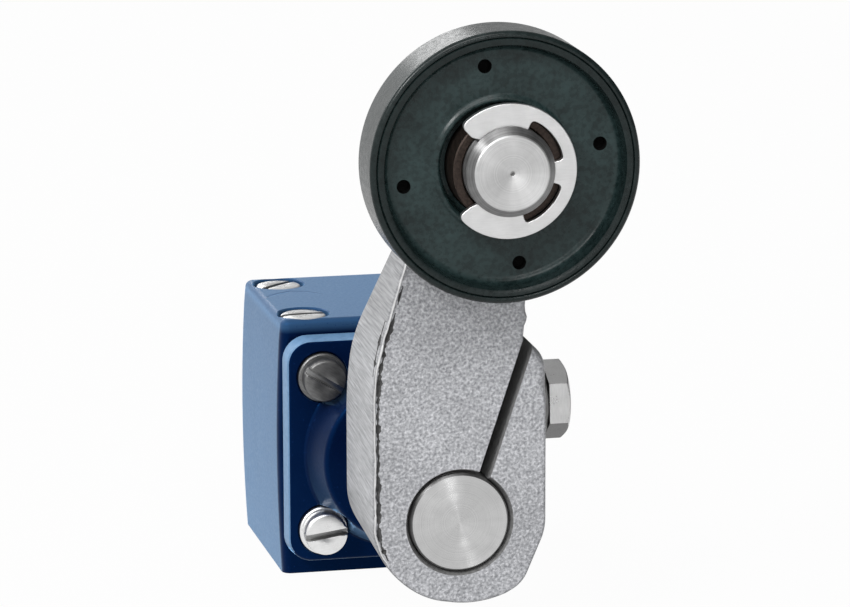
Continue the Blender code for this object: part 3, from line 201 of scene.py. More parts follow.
# Axle and clip; the axle's end is given as radius and height from the front
AXLE_R, AXLE_FRONT = radius_of("roller_axle"), depth_of("roller_axle")[1]
AXLE_END = (
    (0.0, -0.9), (0.18, -0.7), (0.24, -0.03), (0.3, 0.0),
    (3.65, 0.0), (3.72, -0.06), (3.8, -0.13), (4.44, -0.72),
)
AXLE_END_DEPTH, AXLE_FACE_R = 0.82, 3.82
AXLE_GROOVE_R, STEM_R, RIVET_R = 3.7, 3.0, 3.9
RIVET_EDGE, RIVET_DOME, RIVET_ANGLES = ARM_BACK - 0.44, 0.55, (0.35, 0.7, 1.0, 1.3)
CLIP_BACK, CLIP_FRONT = depth_of("e_clip")
CLIP_ENDS, CLIP_SLOTS = (136.5, 219.5 - 360.0), ((65.0, 11.0), (-18.0, -72.0))
CLIP_EDGE = 0.1

# Plunger and its guide; the plunger's foot is given as shift and height
PLUNGER_R = radius_of("plunger")
PLUNGER_FOOT, PLUNGER_TOP = span_of("plunger", "z")
PLUNGER_DOME, PLUNGER_RIM, PLUNGER_STEM_R = 1.1, 0.6, 1.55
PLUNGER_EDGE = ((0.0, 0.25), (-0.1, 0.08), (-0.3, 0.0))
GUIDE_R = radius_of("plunger_guide")
GUIDE_FOOT, GUIDE_TOP = span_of("plunger_guide", "z")
GUIDE_BORE_R, GUIDE_TUBE_R, GUIDE_FLANGE = 1.7, 2.2, 0.7

# Springs
CURL_POINTS = 24
RETURN_WIRE_R, RETURN_TURNS = 0.22, 4
TORSION_WIRE_R, TORSION_TURNS = 0.3, 5
TORSION_BACK, TORSION_FRONT = depth_of("cam")[1] + 1.7, depth_of("shaft_clip")[0] - 2.5
TANG_R, TANG_ANGLE, TANG_BEND = 4.9, -25.0, 0.8

# Camera, fitted to the photograph: azimuth, elevation and roll in degrees
CAMERA_ANGLES = (12.01, 12.67, -0.17)
CAMERA_TARGET, CAMERA_DISTANCE = (3.38, -HALF_DEPTH, 29.34), 482.72
CAMERA_LENS, CAMERA_SENSOR = 189.29, 36.0

# Stage, in metres: place, aim, size and power of each lamp
FLOOR_SIZE, FLOOR_DROP = 3000.0, 0.3
LAMP_AIM = (0.0, -0.02, 0.03)
LAMPS = {
    "key": ((-0.08, -0.46, 0.6), LAMP_AIM, (0.36, 0.26), 1.6),
    "strip": ((0.075, -0.74, 0.22), LAMP_AIM, (0.03, 0.3), 0.5),
    "left": ((-0.46, -0.44, 0.48), LAMP_AIM, (0.16, 0.16), 2.7),
    "rear": ((-0.5, 0.45, 0.5), LAMP_AIM, (0.4, 0.4), 2.4),
    "back": ((-0.05, 0.9, 0.36), (0.0, -0.04, 0.05), (0.3, 0.1), 0.5),
}

SIDE_TURN = (0.0, math.pi / 2, 0.0)
UPRIGHT = (0.0, 0.0, 0.0)
Z_AXIS = Vector((0.0, 0.0, 1.0))


def front(x=0.0, up=0.0, forward=0.0, spin=0.0):
    """Place on the shaft's axis: x right, y up, z forward from the housing's face."""
    return (x, -HALF_DEPTH - forward, SHAFT_HEIGHT + up), (math.pi / 2, -math.radians(spin), 0.0)


ON_SHAFT = front()
ON_AXLE = front(AXLE_X, AXLE_UP)
ON_BOLT = ((0.0, centre_of("clamp_washer").y, centre_of("clamp_washer").z), SIDE_TURN)
ON_PIN = ((0.0, centre_of("cam_pin").y, SHAFT_HEIGHT), SIDE_TURN)
ON_BASE = ((0.0, 0.0, 0.0), UPRIGHT)
ON_PLUNGER = ((0.0, centre_of("plunger").y, 0.0), UPRIGHT)


# Camera

def add_camera():
    azimuth, elevation, roll = [math.radians(angle) for angle in CAMERA_ANGLES]
    data = bpy.data.cameras.new("camera")
    data.lens, data.sensor_width = CAMERA_LENS, CAMERA_SENSOR
    data.clip_start, data.clip_end = 0.01, 20.0
    camera = bpy.data.objects.new("camera", data)
    bpy.context.scene.collection.objects.link(camera)
    turn = Matrix.Rotation(-azimuth, 4, "Z") @ Matrix.Rotation(math.pi / 2 - elevation, 4, "X")
    back = Matrix.Translation((0.0, 0.0, CAMERA_DISTANCE * MM))
    target = Matrix.Translation(Vector(CAMERA_TARGET) * MM)
    camera.matrix_world = target @ turn @ Matrix.Rotation(roll, 4, "Z") @ back
    bpy.context.scene.camera = camera


# Materials

class Graph:
    """Node tree of a material or a world, with short calls to add nodes to it."""

    def __init__(self, owner, shader="Principled BSDF", **values):
        owner.use_nodes = True
        self.owner = owner
        self.tree = owner.node_tree
        self.shader = self.tree.nodes[shader]
        self.coords = self.tree.nodes.new("ShaderNodeTexCoord")
        for socket, value in values.items():
            self.feed(self.shader, socket, value)

    def feed(self, target, socket, value):
        key = socket if isinstance(socket, int) else socket.replace("_", " ")
        if isinstance(value, bpy.types.NodeSocket):
            self.tree.links.new(value, target.inputs[key])
        else:
            target.inputs[key].default_value = value

    def add(self, kind, sockets=None, **settings):
        made = self.tree.nodes.new("ShaderNode" + kind)
        for name, value in settings.items():
            setattr(made, name, value)
        for socket, value in (sockets or {}).items():
            self.feed(made, socket, value)
        return made

    def grain(self, size, detail=3.0, stretch=(1.0, 1.0, 1.0), turn=(0.0, 0.0, 0.0)):
        """Noise with features of about that size in millimetres, stretched along its own axes."""
        shift = self.add("Mapping", {"Vector": self.coords.outputs["Object"]})
        shift.inputs["Rotation"].default_value = turn
        shift.inputs["Scale"].default_value = [1.0 / s for s in stretch]
        made = self.add("TexNoise", {
            "Vector": shift.outputs["Vector"],
            "Scale": 1.0 / (size * MM),
            "Detail": detail,
            "Roughness": 0.55,
        })
        return made.outputs["Fac"]

    def ramp(self, fac, stops):
        """Colours or grey values over a factor."""
        made = self.add("ValToRGB", {"Fac": fac})
        band = made.color_ramp
        while len(band.elements) < len(stops):
            band.elements.new(0.5)
        for element, (place, colour) in zip(band.elements, stops):
            element.position = place
            element.color = (*colour, 1.0) if isinstance(colour, tuple) else (colour, colour, colour, 1.0)
        return made.outputs["Color"]

    def mix(self, fac, a, b, blend_type="MIX"):
        made = self.add("Mix", data_type="RGBA", blend_type=blend_type)
        for socket, value in ((0, fac), (6, a), (7, b)):
            self.feed(made, socket, value)
        return made.outputs[2]

    def times(self, a, b):
        """Product of two colours."""
        return self.mix(1.0, a, b, "MULTIPLY")

    def calc(self, operation, a, b=0.0):
        made = self.add("Math", operation=operation)
        self.feed(made, 0, a)
        self.feed(made, 1, b)
        return made.outputs[0]

    def span(self, value, low, high, to_low=0.0, to_high=1.0):
        made = self.add("MapRange", {
            "Value": value, "From_Min": low, "From_Max": high, "To_Min": to_low, "To_Max": to_high,
        })
        return made.outputs["Result"]

    def weighted(self, *layers):
        """Sum of values, each times its weight."""
        total = None
        for value, weight in layers:
            part = self.calc("MULTIPLY", value, weight)
            total = part if total is None else self.calc("ADD", total, part)
        return total

    def coordinate(self, space, axis):
        """One of the object's own coordinates, or of its normal."""
        return self.add("SeparateXYZ", {"Vector": self.coords.outputs[space]}).outputs[axis]

    def from_axis(self):
        """Direction and distance from the object's own z axis."""
        sockets = {0: self.coords.outputs["Object"], 1: (1.0, 1.0, 0.0)}
        flat = self.add("VectorMath", sockets, operation="MULTIPLY").outputs["Vector"]
        direction = self.add("VectorMath", {0: flat}, operation="NORMALIZE").outputs["Vector"]
        length = self.add("VectorMath", {0: flat}, operation="LENGTH").outputs["Value"]
        return direction, length

    def finish(self, colour, roughness, *layers):
        """Feed the shader; the layers are bumps, pairs of a height and its depth in millimetres."""
        self.feed(self.shader, "Base Color", colour)
        self.feed(self.shader, "Roughness", roughness)
        normal = None
        for height, depth in layers:
            sockets = {"Height": height, "Distance": depth * MM, "Strength": 1.0}
            if normal is not None:
                sockets["Normal"] = normal
            normal = self.add("Bump", sockets).outputs["Normal"]
        self.feed(self.shader, "Normal", normal)
        return self.owner


def material(name, **values):
    return Graph(bpy.data.materials.new(name), **values)


def blue_paint():
    """Dark gloss paint, with a lighter band painted along the block's top edge as a painted highlight."""
    sheen = {"Sheen_Weight": 1.0, "Sheen_Roughness": 0.3, "Sheen_Tint": (0.3, 0.6, 1.0, 1.0)}
    tint = (0.02, 0.3, 1.0, 1.0)
    g = material("blue_paint", Metallic=0.0, Specular_IOR_Level=0.25, Specular_Tint=tint, **sheen)
    broad = g.grain(6.0, 2.0)
    fine = g.grain(0.3, 2.0)
    colour = g.ramp(broad, [(0.3, (0.0006, 0.004, 0.026)), (0.7, (0.001, 0.007, 0.036))])
    # Painted highlight: the paint turns lighter near the top of the block
    painted_light_band = g.span(g.coordinate("Object", "Z"), PAINTED_LIGHT_LOW * MM, PAINTED_LIGHT_HIGH * MM)
    colour = g.mix(painted_light_band, colour, (0.025, 0.065, 0.14, 1.0))
    speck = g.span(fine, 0.64, 0.8)
    colour = g.mix(speck, colour, (0.005, 0.02, 0.085, 1.0))
    return g.finish(colour, g.span(fine, 0.3, 0.7, 0.3, 0.42), (fine, 0.008), (broad, 0.02))


def cast_metal():
    """Pebbled front, and sides with drawn marks, painted darker high on the arm and low on the hub as
    painted shade.
    """
    g = material("cast_metal", Metallic=0.55)
    face = g.span(g.coordinate("Normal", "Z"), 0.55, 0.8)
    pebble = g.grain(0.3, 2.0)
    pits = g.grain(1.3)
    broad = g.grain(9.0)
    marks = g.grain(0.22, 2.0, stretch=(1.0, 1.0, 24.0), turn=(math.radians(10.0), 0.0, 0.0))
    rough = g.ramp(pebble, [
        (0.27, (0.24, 0.245, 0.26)),
        (0.5, (0.42, 0.425, 0.445)),
        (0.73, (0.66, 0.665, 0.69)),
    ])
    tone = g.ramp(broad, [(0.3, 0.88), (0.7, 1.08)])
    up = g.coordinate("Object", "Y")
    # Painted shade: the sides darken high on the arm and low on the hub
    top = g.span(up, SHADE_TOP[0] * MM, SHADE_TOP[1] * MM, 1.0, 0.77)
    foot = g.span(up, SHADE_FOOT[0] * MM, SHADE_FOOT[1] * MM, 0.74, 1.0)
    smooth = g.ramp(marks, [(0.3, (0.25, 0.255, 0.265)), (0.7, (0.53, 0.535, 0.55))])
    side = g.times(smooth, g.calc("MULTIPLY", top, foot))
    return g.finish(
        g.mix(face, side, g.times(rough, tone)),
        g.span(face, 0.0, 1.0, 0.46, 0.6),
        (g.calc("MULTIPLY", pebble, face), 0.13),
        (g.calc("MULTIPLY", pits, face), 0.1),
        (g.calc("MULTIPLY", marks, g.calc("SUBTRACT", 1.0, face)), 0.035),
    )


def grainy(name, low, high, size, depth, roughness, **values):
    """Material with one even grain; its roughness is a number or a range."""
    g = material(name, **values)
    grain = g.grain(size)
    if isinstance(roughness, tuple):
        roughness = g.span(grain, 0.3, 0.7, *roughness)
    return g.finish(g.ramp(grain, [(0.3, low), (0.7, high)]), roughness, (grain, depth))


def dark_cut(name, low, high, shine=0.5):
    """Rough inside of a cut, a bore or a groove, painted dark as painted shade in the hollow."""
    return grainy(name, low, high, 0.5, 0.05, 0.75, Metallic=0.2, Specular_IOR_Level=shine)


def turned_metal(name, low, high, roughness, drawn):
    """Bare metal with fine rings about its own z axis and a shine drawn out across them."""
    ring = 0.12
    g = material(name, Metallic=1.0, Anisotropic=drawn, Anisotropic_Rotation=0.25)
    tangent = g.add("Tangent", direction_type="RADIAL", axis="Z")
    g.feed(g.shader, "Tangent", tangent.outputs["Tangent"])
    direction, length = g.from_axis()
    sockets = {"W": length, "Scale": 1.0 / (ring * MM), "Detail": 2.0}
    rings = g.add("TexNoise", sockets, noise_dimensions="1D").outputs["Fac"]
    sockets = {"Vector": direction, "Scale": 3.2, "Detail": 5.0}
    sweep = g.add("TexNoise", sockets).outputs["Fac"]
    broad = g.grain(1.8, 4.0)
    mottle = g.weighted((rings, 0.3), (broad, 0.5), (sweep, 0.2))
    colour = g.ramp(mottle, [(0.35, low), (0.65, high)])
    return g.finish(colour, g.span(broad, 0.3, 0.7, roughness - 0.05, roughness + 0.06), (rings, 0.004))


def plated_metal(name, low, high, roughness):
    """Bright plated steel, faintly scratched and mottled."""
    g = material(name, Metallic=1.0)
    scratch = g.grain(0.12, 2.0, stretch=(9.0, 1.0, 1.0), turn=(0.0, 0.0, 0.6))
    broad = g.grain(1.6)
    mottle = g.weighted((scratch, 0.4), (broad, 0.6))
    colour = g.ramp(mottle, [(0.35, low), (0.65, high)])
    roughness = g.span(broad, 0.3, 0.7, roughness - 0.06, roughness + 0.08)
    return g.finish(colour, roughness, (scratch, 0.004), (broad, 0.012))


def roller_plastic():
    """Greenish black moulding, darker outside the web."""
    g = material("roller_plastic", Metallic=0.0, Specular_IOR_Level=0.26)
    length = g.from_axis()[1]
    outside = g.span(length, (RIM_R - 0.62) * MM, (RIM_R + 0.08) * MM)
    fine = g.grain(0.55)
    broad = g.grain(3.5)
    mottle = g.weighted((fine, 0.55), (broad, 0.45))
    web = g.ramp(mottle, [(0.36, (0.007, 0.0145, 0.0145)), (0.64, (0.023, 0.042, 0.042))])
    tyre = g.ramp(mottle, [(0.36, (0.003, 0.007, 0.007)), (0.64, (0.009, 0.016, 0.016))])
    roughness = g.span(fine, 0.3, 0.7, 0.22, 0.34)
    return g.finish(g.mix(outside, web, tyre), roughness, (fine, 0.003), (broad, 0.04))


# Shapes

def place_object(name, bm, place, surface, sharp=32.0):
    bmesh.ops.remove_doubles(bm, verts=bm.verts, dist=0.0005)
    bmesh.ops.recalc_face_normals(bm, faces=bm.faces)
    bmesh.ops.scale(bm, vec=(MM, MM, MM), verts=bm.verts)
    mesh = bpy.data.meshes.new(name)
    bm.to_mesh(mesh)
    bm.free()
    mesh.materials.append(surface)
    piece = bpy.data.objects.new(name, mesh)
    bpy.context.scene.collection.objects.link(piece)
    where, turn = place
    piece.location = Vector(where) * MM
    piece.rotation_euler = turn
    shade(piece, sharp)
    return piece


def shade(piece, sharp=32.0):
    piece.data.shade_smooth()
    piece.data.set_sharp_from_angle(angle=math.radians(sharp))


def turned(name, profile, place, surface, segments=96, start=0.0):
    """Spin (radius, height) points; a profile off the axis makes a ring."""
    bm = bmesh.new()
    points = [bm.verts.new((*polar(radius, start), height)) for radius, height in profile]
    pairs = list(zip(points, points[1:]))
    if min(point[0] for point in profile) > 0:
        pairs.append((points[-1], points[0]))
    edges = [bm.edges.new(pair) for pair in pairs]
    bmesh.ops.spin(
        bm, geom=points + edges, cent=(0.0, 0.0, 0.0), axis=(0.0, 0.0, 1.0),
        angle=2 * math.pi, steps=segments, use_merge=True,
    )
    return place_object(name, bm, place, surface)


def lofted(name, loops, place, surface, sharp=32.0):
    bm = bmesh.new()
    rings = [[bm.verts.new(point) for point in loop] for loop in loops]
    bm.faces.new(rings[0])
    bm.faces.new(rings[-1])
    for low, high in zip(rings, rings[1:]):
        for i, corner in enumerate(low):
            j = (i + 1) % len(low)
            bm.faces.new((corner, low[j], high[j], high[i]))
    return place_object(name, bm, place, surface, sharp=sharp)


def extruded(name, outline, low, high, place, surface):
    return lofted(name, [lifted(outline, low), lifted(outline, high)], place, surface)


def lifted(outline, height):
    return [(x, y, height) for x, y in outline]


def raised(rows, height, radius=0.0):
    """Points given from a radius and a height."""
    return [(radius + across, height + up) for across, up in rows]


def stepped(start, steps):
    """Half section of a stepped bar or hole: each step is a radius and where it ends."""
    points = []
    for radius, end in steps:
        points += [(radius, start), (radius, end)]
        start = end
    return points


def polar(radius, angle):
    return radius * math.cos(math.radians(angle)), radius * math.sin(math.radians(angle))


def arc(x, y, radius, start, end, steps):
    points = []
    for i in range(steps + 1):
        across, up = polar(radius, start + (end - start) * i / steps)
        points.append((x + across, y + up))
    return points


def curve(first, corner, last, steps):
    """Points of a curve that leaves and arrives along the two sides of a corner."""
    shares = [i / steps for i in range(steps + 1)]
    return [tuple(first * (1 - t) ** 2 + corner * (2 * t * (1 - t)) + last * t**2) for t in shares]


def divided(start, stop, count):
    """Points between two ends, which are left out."""
    return [tuple(Vector(start).lerp(Vector(stop), k / count)) for k in range(1, count)]


def heading(points, i):
    """Way from the point before to the point after, in a row of points."""
    return points[min(i + 1, len(points) - 1)] - points[max(i - 1, 0)]


def crosswise(points, i):
    """Direction square to a flat row of points."""
    step = heading(points, i)
    return Vector((step.y, -step.x, 0.0)).normalized()


def rounded_rectangle(left, right, bottom, top, radius, steps=8):
    points = arc(right - radius, top - radius, radius, 0, 90, steps)
    points += arc(left + radius, top - radius, radius, 90, 180, steps)
    points += arc(left + radius, bottom + radius, radius, 180, 270, steps)
    points += arc(right - radius, bottom + radius, radius, 270, 360, steps)
    return points


def inset(outline, distances):
    """Move the points of a counterclockwise outline inward, each by its own distance."""
    moved = []
    for i, point in enumerate(outline):
        here = Vector(point)
        before = (here - Vector(outline[i - 1])).normalized()
        after = (Vector(outline[(i + 1) % len(outline)]) - here).normalized()
        inward = Vector((-before.y - after.y, before.x + after.x)).normalized()
        reach = distances[i] / max(inward.dot(Vector((-after.y, after.x))), 0.5)
        moved.append(tuple(here + inward * reach))
    return moved


def rounded_loops(outline, front_at, radii, steps=5):
    """Loops that round the front edge of an outline, each point with its own radius."""
    loops = []
    for i in range(steps + 1):
        a = math.radians(90 * i / steps)
        ring = inset(outline, [r * (1 - math.cos(a)) for r in radii])
        loops.append([(x, y, front_at - r * (1 - math.sin(a))) for (x, y), r in zip(ring, radii)])
    return loops


def filleted(corners, steps=5):
    """Outline through (x, y, radius) corners, each corner rounded by its radius."""
    points = []
    for i, (x, y, radius) in enumerate(corners):
        here = Vector((x, y))
        back = (Vector(corners[i - 1][:2]) - here).normalized()
        ahead = (Vector(corners[(i + 1) % len(corners)][:2]) - here).normalized()
        half = back.angle(ahead) / 2
        if radius <= 0 or half > math.radians(88.0):
            points.append((x, y))
            continue
        reach = radius / math.tan(half)
        points += curve(here + back * reach, here, here + ahead * reach, steps)
    return points


def carve(piece, tools, operation="DIFFERENCE"):
    """Cut tools out of a piece, or join them on, and keep only the result."""
    for tool in tools:
        step = piece.modifiers.new(tool.name, "BOOLEAN")
        step.operation = operation
        step.solver = "EXACT"
        step.material_mode = "TRANSFER"
        step.object = tool
    bake(piece)
    for tool in tools:
        bpy.data.objects.remove(tool, do_unlink=True)


def bake(piece):
    """Turn a piece's modifiers into its mesh."""
    bpy.context.view_layer.update()
    graph = bpy.context.evaluated_depsgraph_get()
    mesh = bpy.data.meshes.new_from_object(piece.evaluated_get(graph))
    piece.modifiers.clear()
    old = piece.data
    piece.data = mesh
    bpy.data.meshes.remove(old)
    mesh.name = piece.name


def soften(piece, width, segments=2, angle=38.0):
    """Break the sharp edges of a piece."""
    step = piece.modifiers.new("soften", "BEVEL")
    step.width = width * MM
    step.segments = segments
    step.limit_method = "ANGLE"
    step.angle_limit = math.radians(angle)
    step.harden_normals = True
    bake(piece)


def even(piece, sharp=32.0):
    """Shade a cut piece so that its flat faces stay flat."""
    shade(piece, sharp)
    step = piece.modifiers.new("even", "WEIGHTED_NORMAL")
    step.keep_sharp = True
    bake(piece)


def swept(name, path, place, surface):
    """Round bar along (point, across, lift, width, height) stations, closed at both ends."""
    section = [polar(1.0, 45 * i) for i in range(8)]
    loops = []
    for point, across, lift, width, height in path:
        loops.append([point + across * (a * width) + lift * (b * height) for a, b in section])
    return lofted(name, loops, place, surface, sharp=60.0)


def repaint(piece, surface, chosen):
    """Give another material to the chosen faces of a piece."""
    piece.data.materials.append(surface)
    for face in piece.data.polygons:
        if chosen(face):
            face.material_index = len(piece.data.materials) - 1


def show(piece, body, slot, *nodes):
    """Let a piece stand for CAD nodes on a body."""
    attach(piece, body)
    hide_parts(*nodes)


def plug(name, place, surface, points, segments=48):
    """Round solid from (radius, height) points, closed on its axis."""
    profile = [(0.0, points[0][1]), *points, (0.0, points[-1][1])]
    return turned(name, profile, place, surface, segments=segments)


def hole(name, place, surface, start, *steps, segments=48):
    """Round cutter; each step is a radius and where it ends."""
    return plug(name, place, surface, stepped(start, steps), segments)


# Pieces of the head

def top_mark(surface):
    """Cutter for the faint moulded arc on top of the head, next to the rear screw."""
    points = [Vector(point) for point in TOP_ARC]
    path = []
    for i, point in enumerate(points):
        size = 0.5 if i in (0, len(points) - 1) else 1.0
        spot = Vector((*point, HEAD_HEIGHT))
        path.append((spot, crosswise(points, i), Z_AXIS, TOP_ARC_WIDTH * size, TOP_ARC_DEPTH * size))
    return swept("top_mark", path, ON_BASE, surface)


def plate_screw_place(number, forward, spin=0.0):
    """Place on the axis of one of the front plate's screws."""
    centre = centre_of(f"plate_screw_{number}")
    return front(centre.x, centre.z - SHAFT_HEIGHT, forward, spin)


def head_screw_place(number, height, spin=0.0):
    """Place on the axis of one of the screws down through the block."""
    centre = centre_of(f"head_screw_{number}")
    return (centre.x, centre.y, height), (0.0, 0.0, math.radians(spin))


def drawn_in(outline):
    """Bring the sides of an outline closer together toward the front."""
    slope = DRAFT_FRONT / (2 * HALF_DEPTH * HALF_WIDTH)
    return [(x * (1 - slope * (HALF_DEPTH - y)), y) for x, y in outline]


def make_housing(paint):
    middle = HEAD_HEIGHT / 2
    shares = [i / 6 for i in range(6)]
    sections = [(middle * s, DRAFT_BOTTOM * (1 - s) ** 2, 0.0) for s in shares]
    sections += [(middle * (1 + s), DRAFT_TOP * s**2, 0.0) for s in shares]
    for i in range(9):
        a = math.radians(90 * i / 8)
        rim = HEAD_TOP_ROUND * (1 - math.cos(a))
        sections.append((HEAD_HEIGHT - HEAD_TOP_ROUND * (1 - math.sin(a)), DRAFT_TOP + rim, rim))
    loops = []
    for height, side, ends in sections:
        x, y = HALF_WIDTH - side, HALF_DEPTH - ends
        loops.append(lifted(drawn_in(rounded_rectangle(-x, x, -y, y, HEAD_CORNER - ends)), height))
    housing = lofted("housing_casting", loops, ON_BASE, paint)
    pocket = rounded_rectangle(-POCKET_HALF, POCKET_HALF, -POCKET_RISE, POCKET_RISE, POCKET_CORNER)
    tools = [extruded("pocket", pocket, POCKET_FLOOR, CUT, ON_SHAFT, paint)]
    tools.append(hole("pivot", ON_SHAFT, paint, POCKET_FLOOR + CUT, (PIVOT_HOLE_R, PIVOT_FLOOR)))
    steps = (GUIDE_R + FIT, GUIDE_FOOT - FIT), (PLUNGER_HOLE_R, -CUT)
    tools.append(hole("guide", ON_PLUNGER, paint, GUIDE_HOLE_TOP, *steps))
    steps = (COUNTERBORE_R, HEAD_SCREW_SEAT - FIT), (SCREW_HOLE_R, -CUT)
    points = [(COUNTERBORE_R + COUNTERBORE_EDGE + OVER, HEAD_HEIGHT + OVER)]
    points += stepped(HEAD_HEIGHT - COUNTERBORE_EDGE, steps)
    for i in range(1, 5):
        tools.append(plug(f"head_hole_{i}", head_screw_place(i, 0.0), paint, points))
    for i in range(1, 5):
        step = SCREW_HOLE_R, PLATE_SCREW_TIP - FIT
        tools.append(hole(f"tapped_{i}", plate_screw_place(i, 0.0), paint, CUT, step, segments=24))
    tools.append(top_mark(paint))
    carve(housing, tools)
    even(housing)
    show(housing, "head", "blue_paint", "head_housing")


def is_highlight_rim(face):
    """Whether a face of the front plate lies on its rim, but not on the flat or underneath; these faces
    get lighter paint as a painted highlight.
    """
    x, up, forward = face.center / MM
    across = max(0.0, abs(x) - PLATE_HALF + PLATE_CORNER)
    along = max(0.0, up - PLATE_TOP + PLATE_CORNER, PLATE_BOTTOM - up + PLATE_CORNER)
    outer = math.hypot(across, along) > PLATE_CORNER - HIGHLIGHT_RIM_WIDTH
    return outer and forward > HIGHLIGHT_RIM_START and face.normal.z < 0.8 and face.normal.y > -0.4


def make_front_plate(paint, highlight_rim_paint):
    outline = rounded_rectangle(-PLATE_HALF, PLATE_HALF, PLATE_BOTTOM, PLATE_TOP, PLATE_CORNER, 10)
    count = len(outline)
    loops = [lifted(outline, PLATE_BACK)]
    loops += rounded_loops(inset(outline, [PLATE_DRAFT] * count), PLATE_FRONT, [PLATE_EDGE] * count)
    plate = lofted("front_plate_casting", loops, ON_SHAFT, paint)
    boss = [(0.0, NOSE_FRONT)]
    boss += arc(NOSE_R - NOSE_ROUND, NOSE_FRONT - NOSE_ROUND, NOSE_ROUND, 90, 0, 5)
    boss += arc(NOSE_R + NOSE_FILLET, BOSS_FRONT + NOSE_FILLET, NOSE_FILLET, 180, 270, 4)
    boss += arc(BOSS_R - BOSS_ROUND, BOSS_FRONT - BOSS_ROUND, BOSS_ROUND, 90, BOSS_TAPER, 6)
    boss += raised(BOSS_FOOT, PLATE_FRONT)
    boss += [(BOSS_FOOT[-1][0], BOSS_ROOT), (0.0, BOSS_ROOT)]
    carve(plate, [turned("boss", boss, ON_SHAFT, paint)], "UNION")
    steps = [(radius_of(node) + FIT, depth_of(node)[0] - FIT) for node in ("shaft_seal", "shaft_bushing")]
    steps.append((JOURNAL_R + HOLE_ROOM, -CUT))
    tools = [hole("bearing", ON_SHAFT, paint, NOSE_FRONT + CUT, *steps, segments=96)]
    steps = (PLATE_RECESS_R, PLATE_SCREW_SEAT - FIT), (SCREW_HOLE_R, -CUT)
    for i in range(1, 5):
        place = plate_screw_place(i, 0.0)
        tools.append(hole(f"plate_hole_{i}", place, paint, BOSS_FRONT + CUT, *steps, segments=64))
    place, floor = front(*polar(TANG_R, TANG_ANGLE)), depth_of("torsion_spring")[1] + FIT
    tools.append(hole("tang", place, paint, floor, (TORSION_WIRE_R + FIT, -CUT), segments=16))
    carve(plate, tools)
    soften(plate, 0.12)
    # The rim faces get the lighter paint: a painted highlight along the plate's edge
    repaint(plate, highlight_rim_paint, is_highlight_rim)
    even(plate)
    show(plate, "head", "blue_paint", "front_plate")


def screw_profile(radius, height, shank, tip, collar=()):
    """Half section of a screw; a collar is given by the points of its outline."""
    profile = [(0.0, height + SCREW_CROWN), (radius * 0.6, height + SCREW_CROWN / 2)]
    profile += arc(radius - SCREW_EDGE, height - SCREW_EDGE, SCREW_EDGE, 80, 0, 5)
    profile += [*collar] or [(radius, 0.0)]
    profile += [(shank, 0.0), (shank, tip + SCREW_TIP_EDGE), (shank - SCREW_TIP_EDGE, tip), (0.0, tip)]
    return profile


def make_screw(name, place, sizes, body_metal, slot_metal, node, collar=()):
    """Slotted screw; the slot is cut a little unevenly, with broken edges, and its darker metal is
    painted shade.
    """
    radius, height = sizes[:2]
    screw = turned(name, screw_profile(*sizes, collar), place, body_metal, segments=48)
    reach = radius + OVER
    outline = list(zip((-reach, reach, reach, -reach), SLOT_SIDES))
    slot = extruded(f"{name}_slot", outline, height - SLOT_DEPTH, height + OVER, place, slot_metal)
    carve(screw, [slot])
    soften(screw, 0.05)
    shade(screw)
    show(screw, "head", "screw_steel", node)


def make_screws(plated, shade_steel, slot_metal):
    """The four long screws, and four short ones of which the upper two get darker steel as painted shade.
    """
    sizes = (HEAD_SCREW_R, HEAD_SCREW_HEIGHT, SCREW_SHANK_R, HEAD_SCREW_TIP - HEAD_SCREW_SEAT)
    for i, spin in enumerate(HEAD_SCREW_TURNS, 1):
        place = head_screw_place(i, HEAD_SCREW_SEAT, spin)
        make_screw(f"top_screw_{i}", place, sizes, plated, slot_metal, f"head_screw_{i}")
    sizes = (PLATE_SCREW_R, PLATE_SCREW_HEIGHT, SCREW_SHANK_R, PLATE_SCREW_TIP - PLATE_SCREW_SEAT)
    collar = [
        (PLATE_SCREW_R, PLATE_COLLAR_HEIGHT),
        (PLATE_COLLAR_R - PLATE_COLLAR_EDGE, PLATE_COLLAR_HEIGHT),
        (PLATE_COLLAR_R, PLATE_COLLAR_HEIGHT - PLATE_COLLAR_EDGE),
        (PLATE_COLLAR_R, 0.0),
    ]
    for i, spin in enumerate(PLATE_SCREW_TURNS, 1):
        metal = shade_steel if i < 3 else plated
        place = plate_screw_place(i, PLATE_SCREW_SEAT, spin)
        make_screw(f"face_screw_{i}", place, sizes, metal, slot_metal, f"plate_screw_{i}", collar)


# Pieces of the lever

def beyond(radius):
    """Test for faces farther than a radius from their piece's z axis."""
    return lambda face: face.center.to_2d().length > radius * MM


def make_shaft(metal, side_metal):
    clip_back, clip_front = depth_of("shaft_clip")
    cam_back, cam_front = depth_of("cam")
    points = raised(SHAFT_END, LEVER_FRONT)
    points += stepped(LEVER_FRONT - SHAFT_END_DEPTH, [
        (SHAFT_R, SHAFT_SHOULDER),
        (JOURNAL_R, clip_front + FIT),
        (SHAFT_GROOVE_R, clip_back - FIT),
        (JOURNAL_R, JOURNAL_END),
        (WAIST_R, cam_front + FIT),
        (CAM_SEAT_R, cam_back - FIT),
        (PIVOT_R, SHAFT_BACK),
    ])
    shaft = plug("turned_shaft", ON_SHAFT, metal, points, 96)
    # Faces outside the shaft's end face get darker steel: painted shade on the chamfer
    repaint(shaft, side_metal, beyond(SHAFT_FACE_R))
    pin_hole = PIN_HOLE_R, -PIN_HOLE_REACH
    carve(shaft, [hole("pin_hole", ON_PIN, metal, PIN_HOLE_REACH, pin_hole, segments=24)])
    shade(shaft)
    show(shaft, "lever_arm", "turned_steel", "shaft")


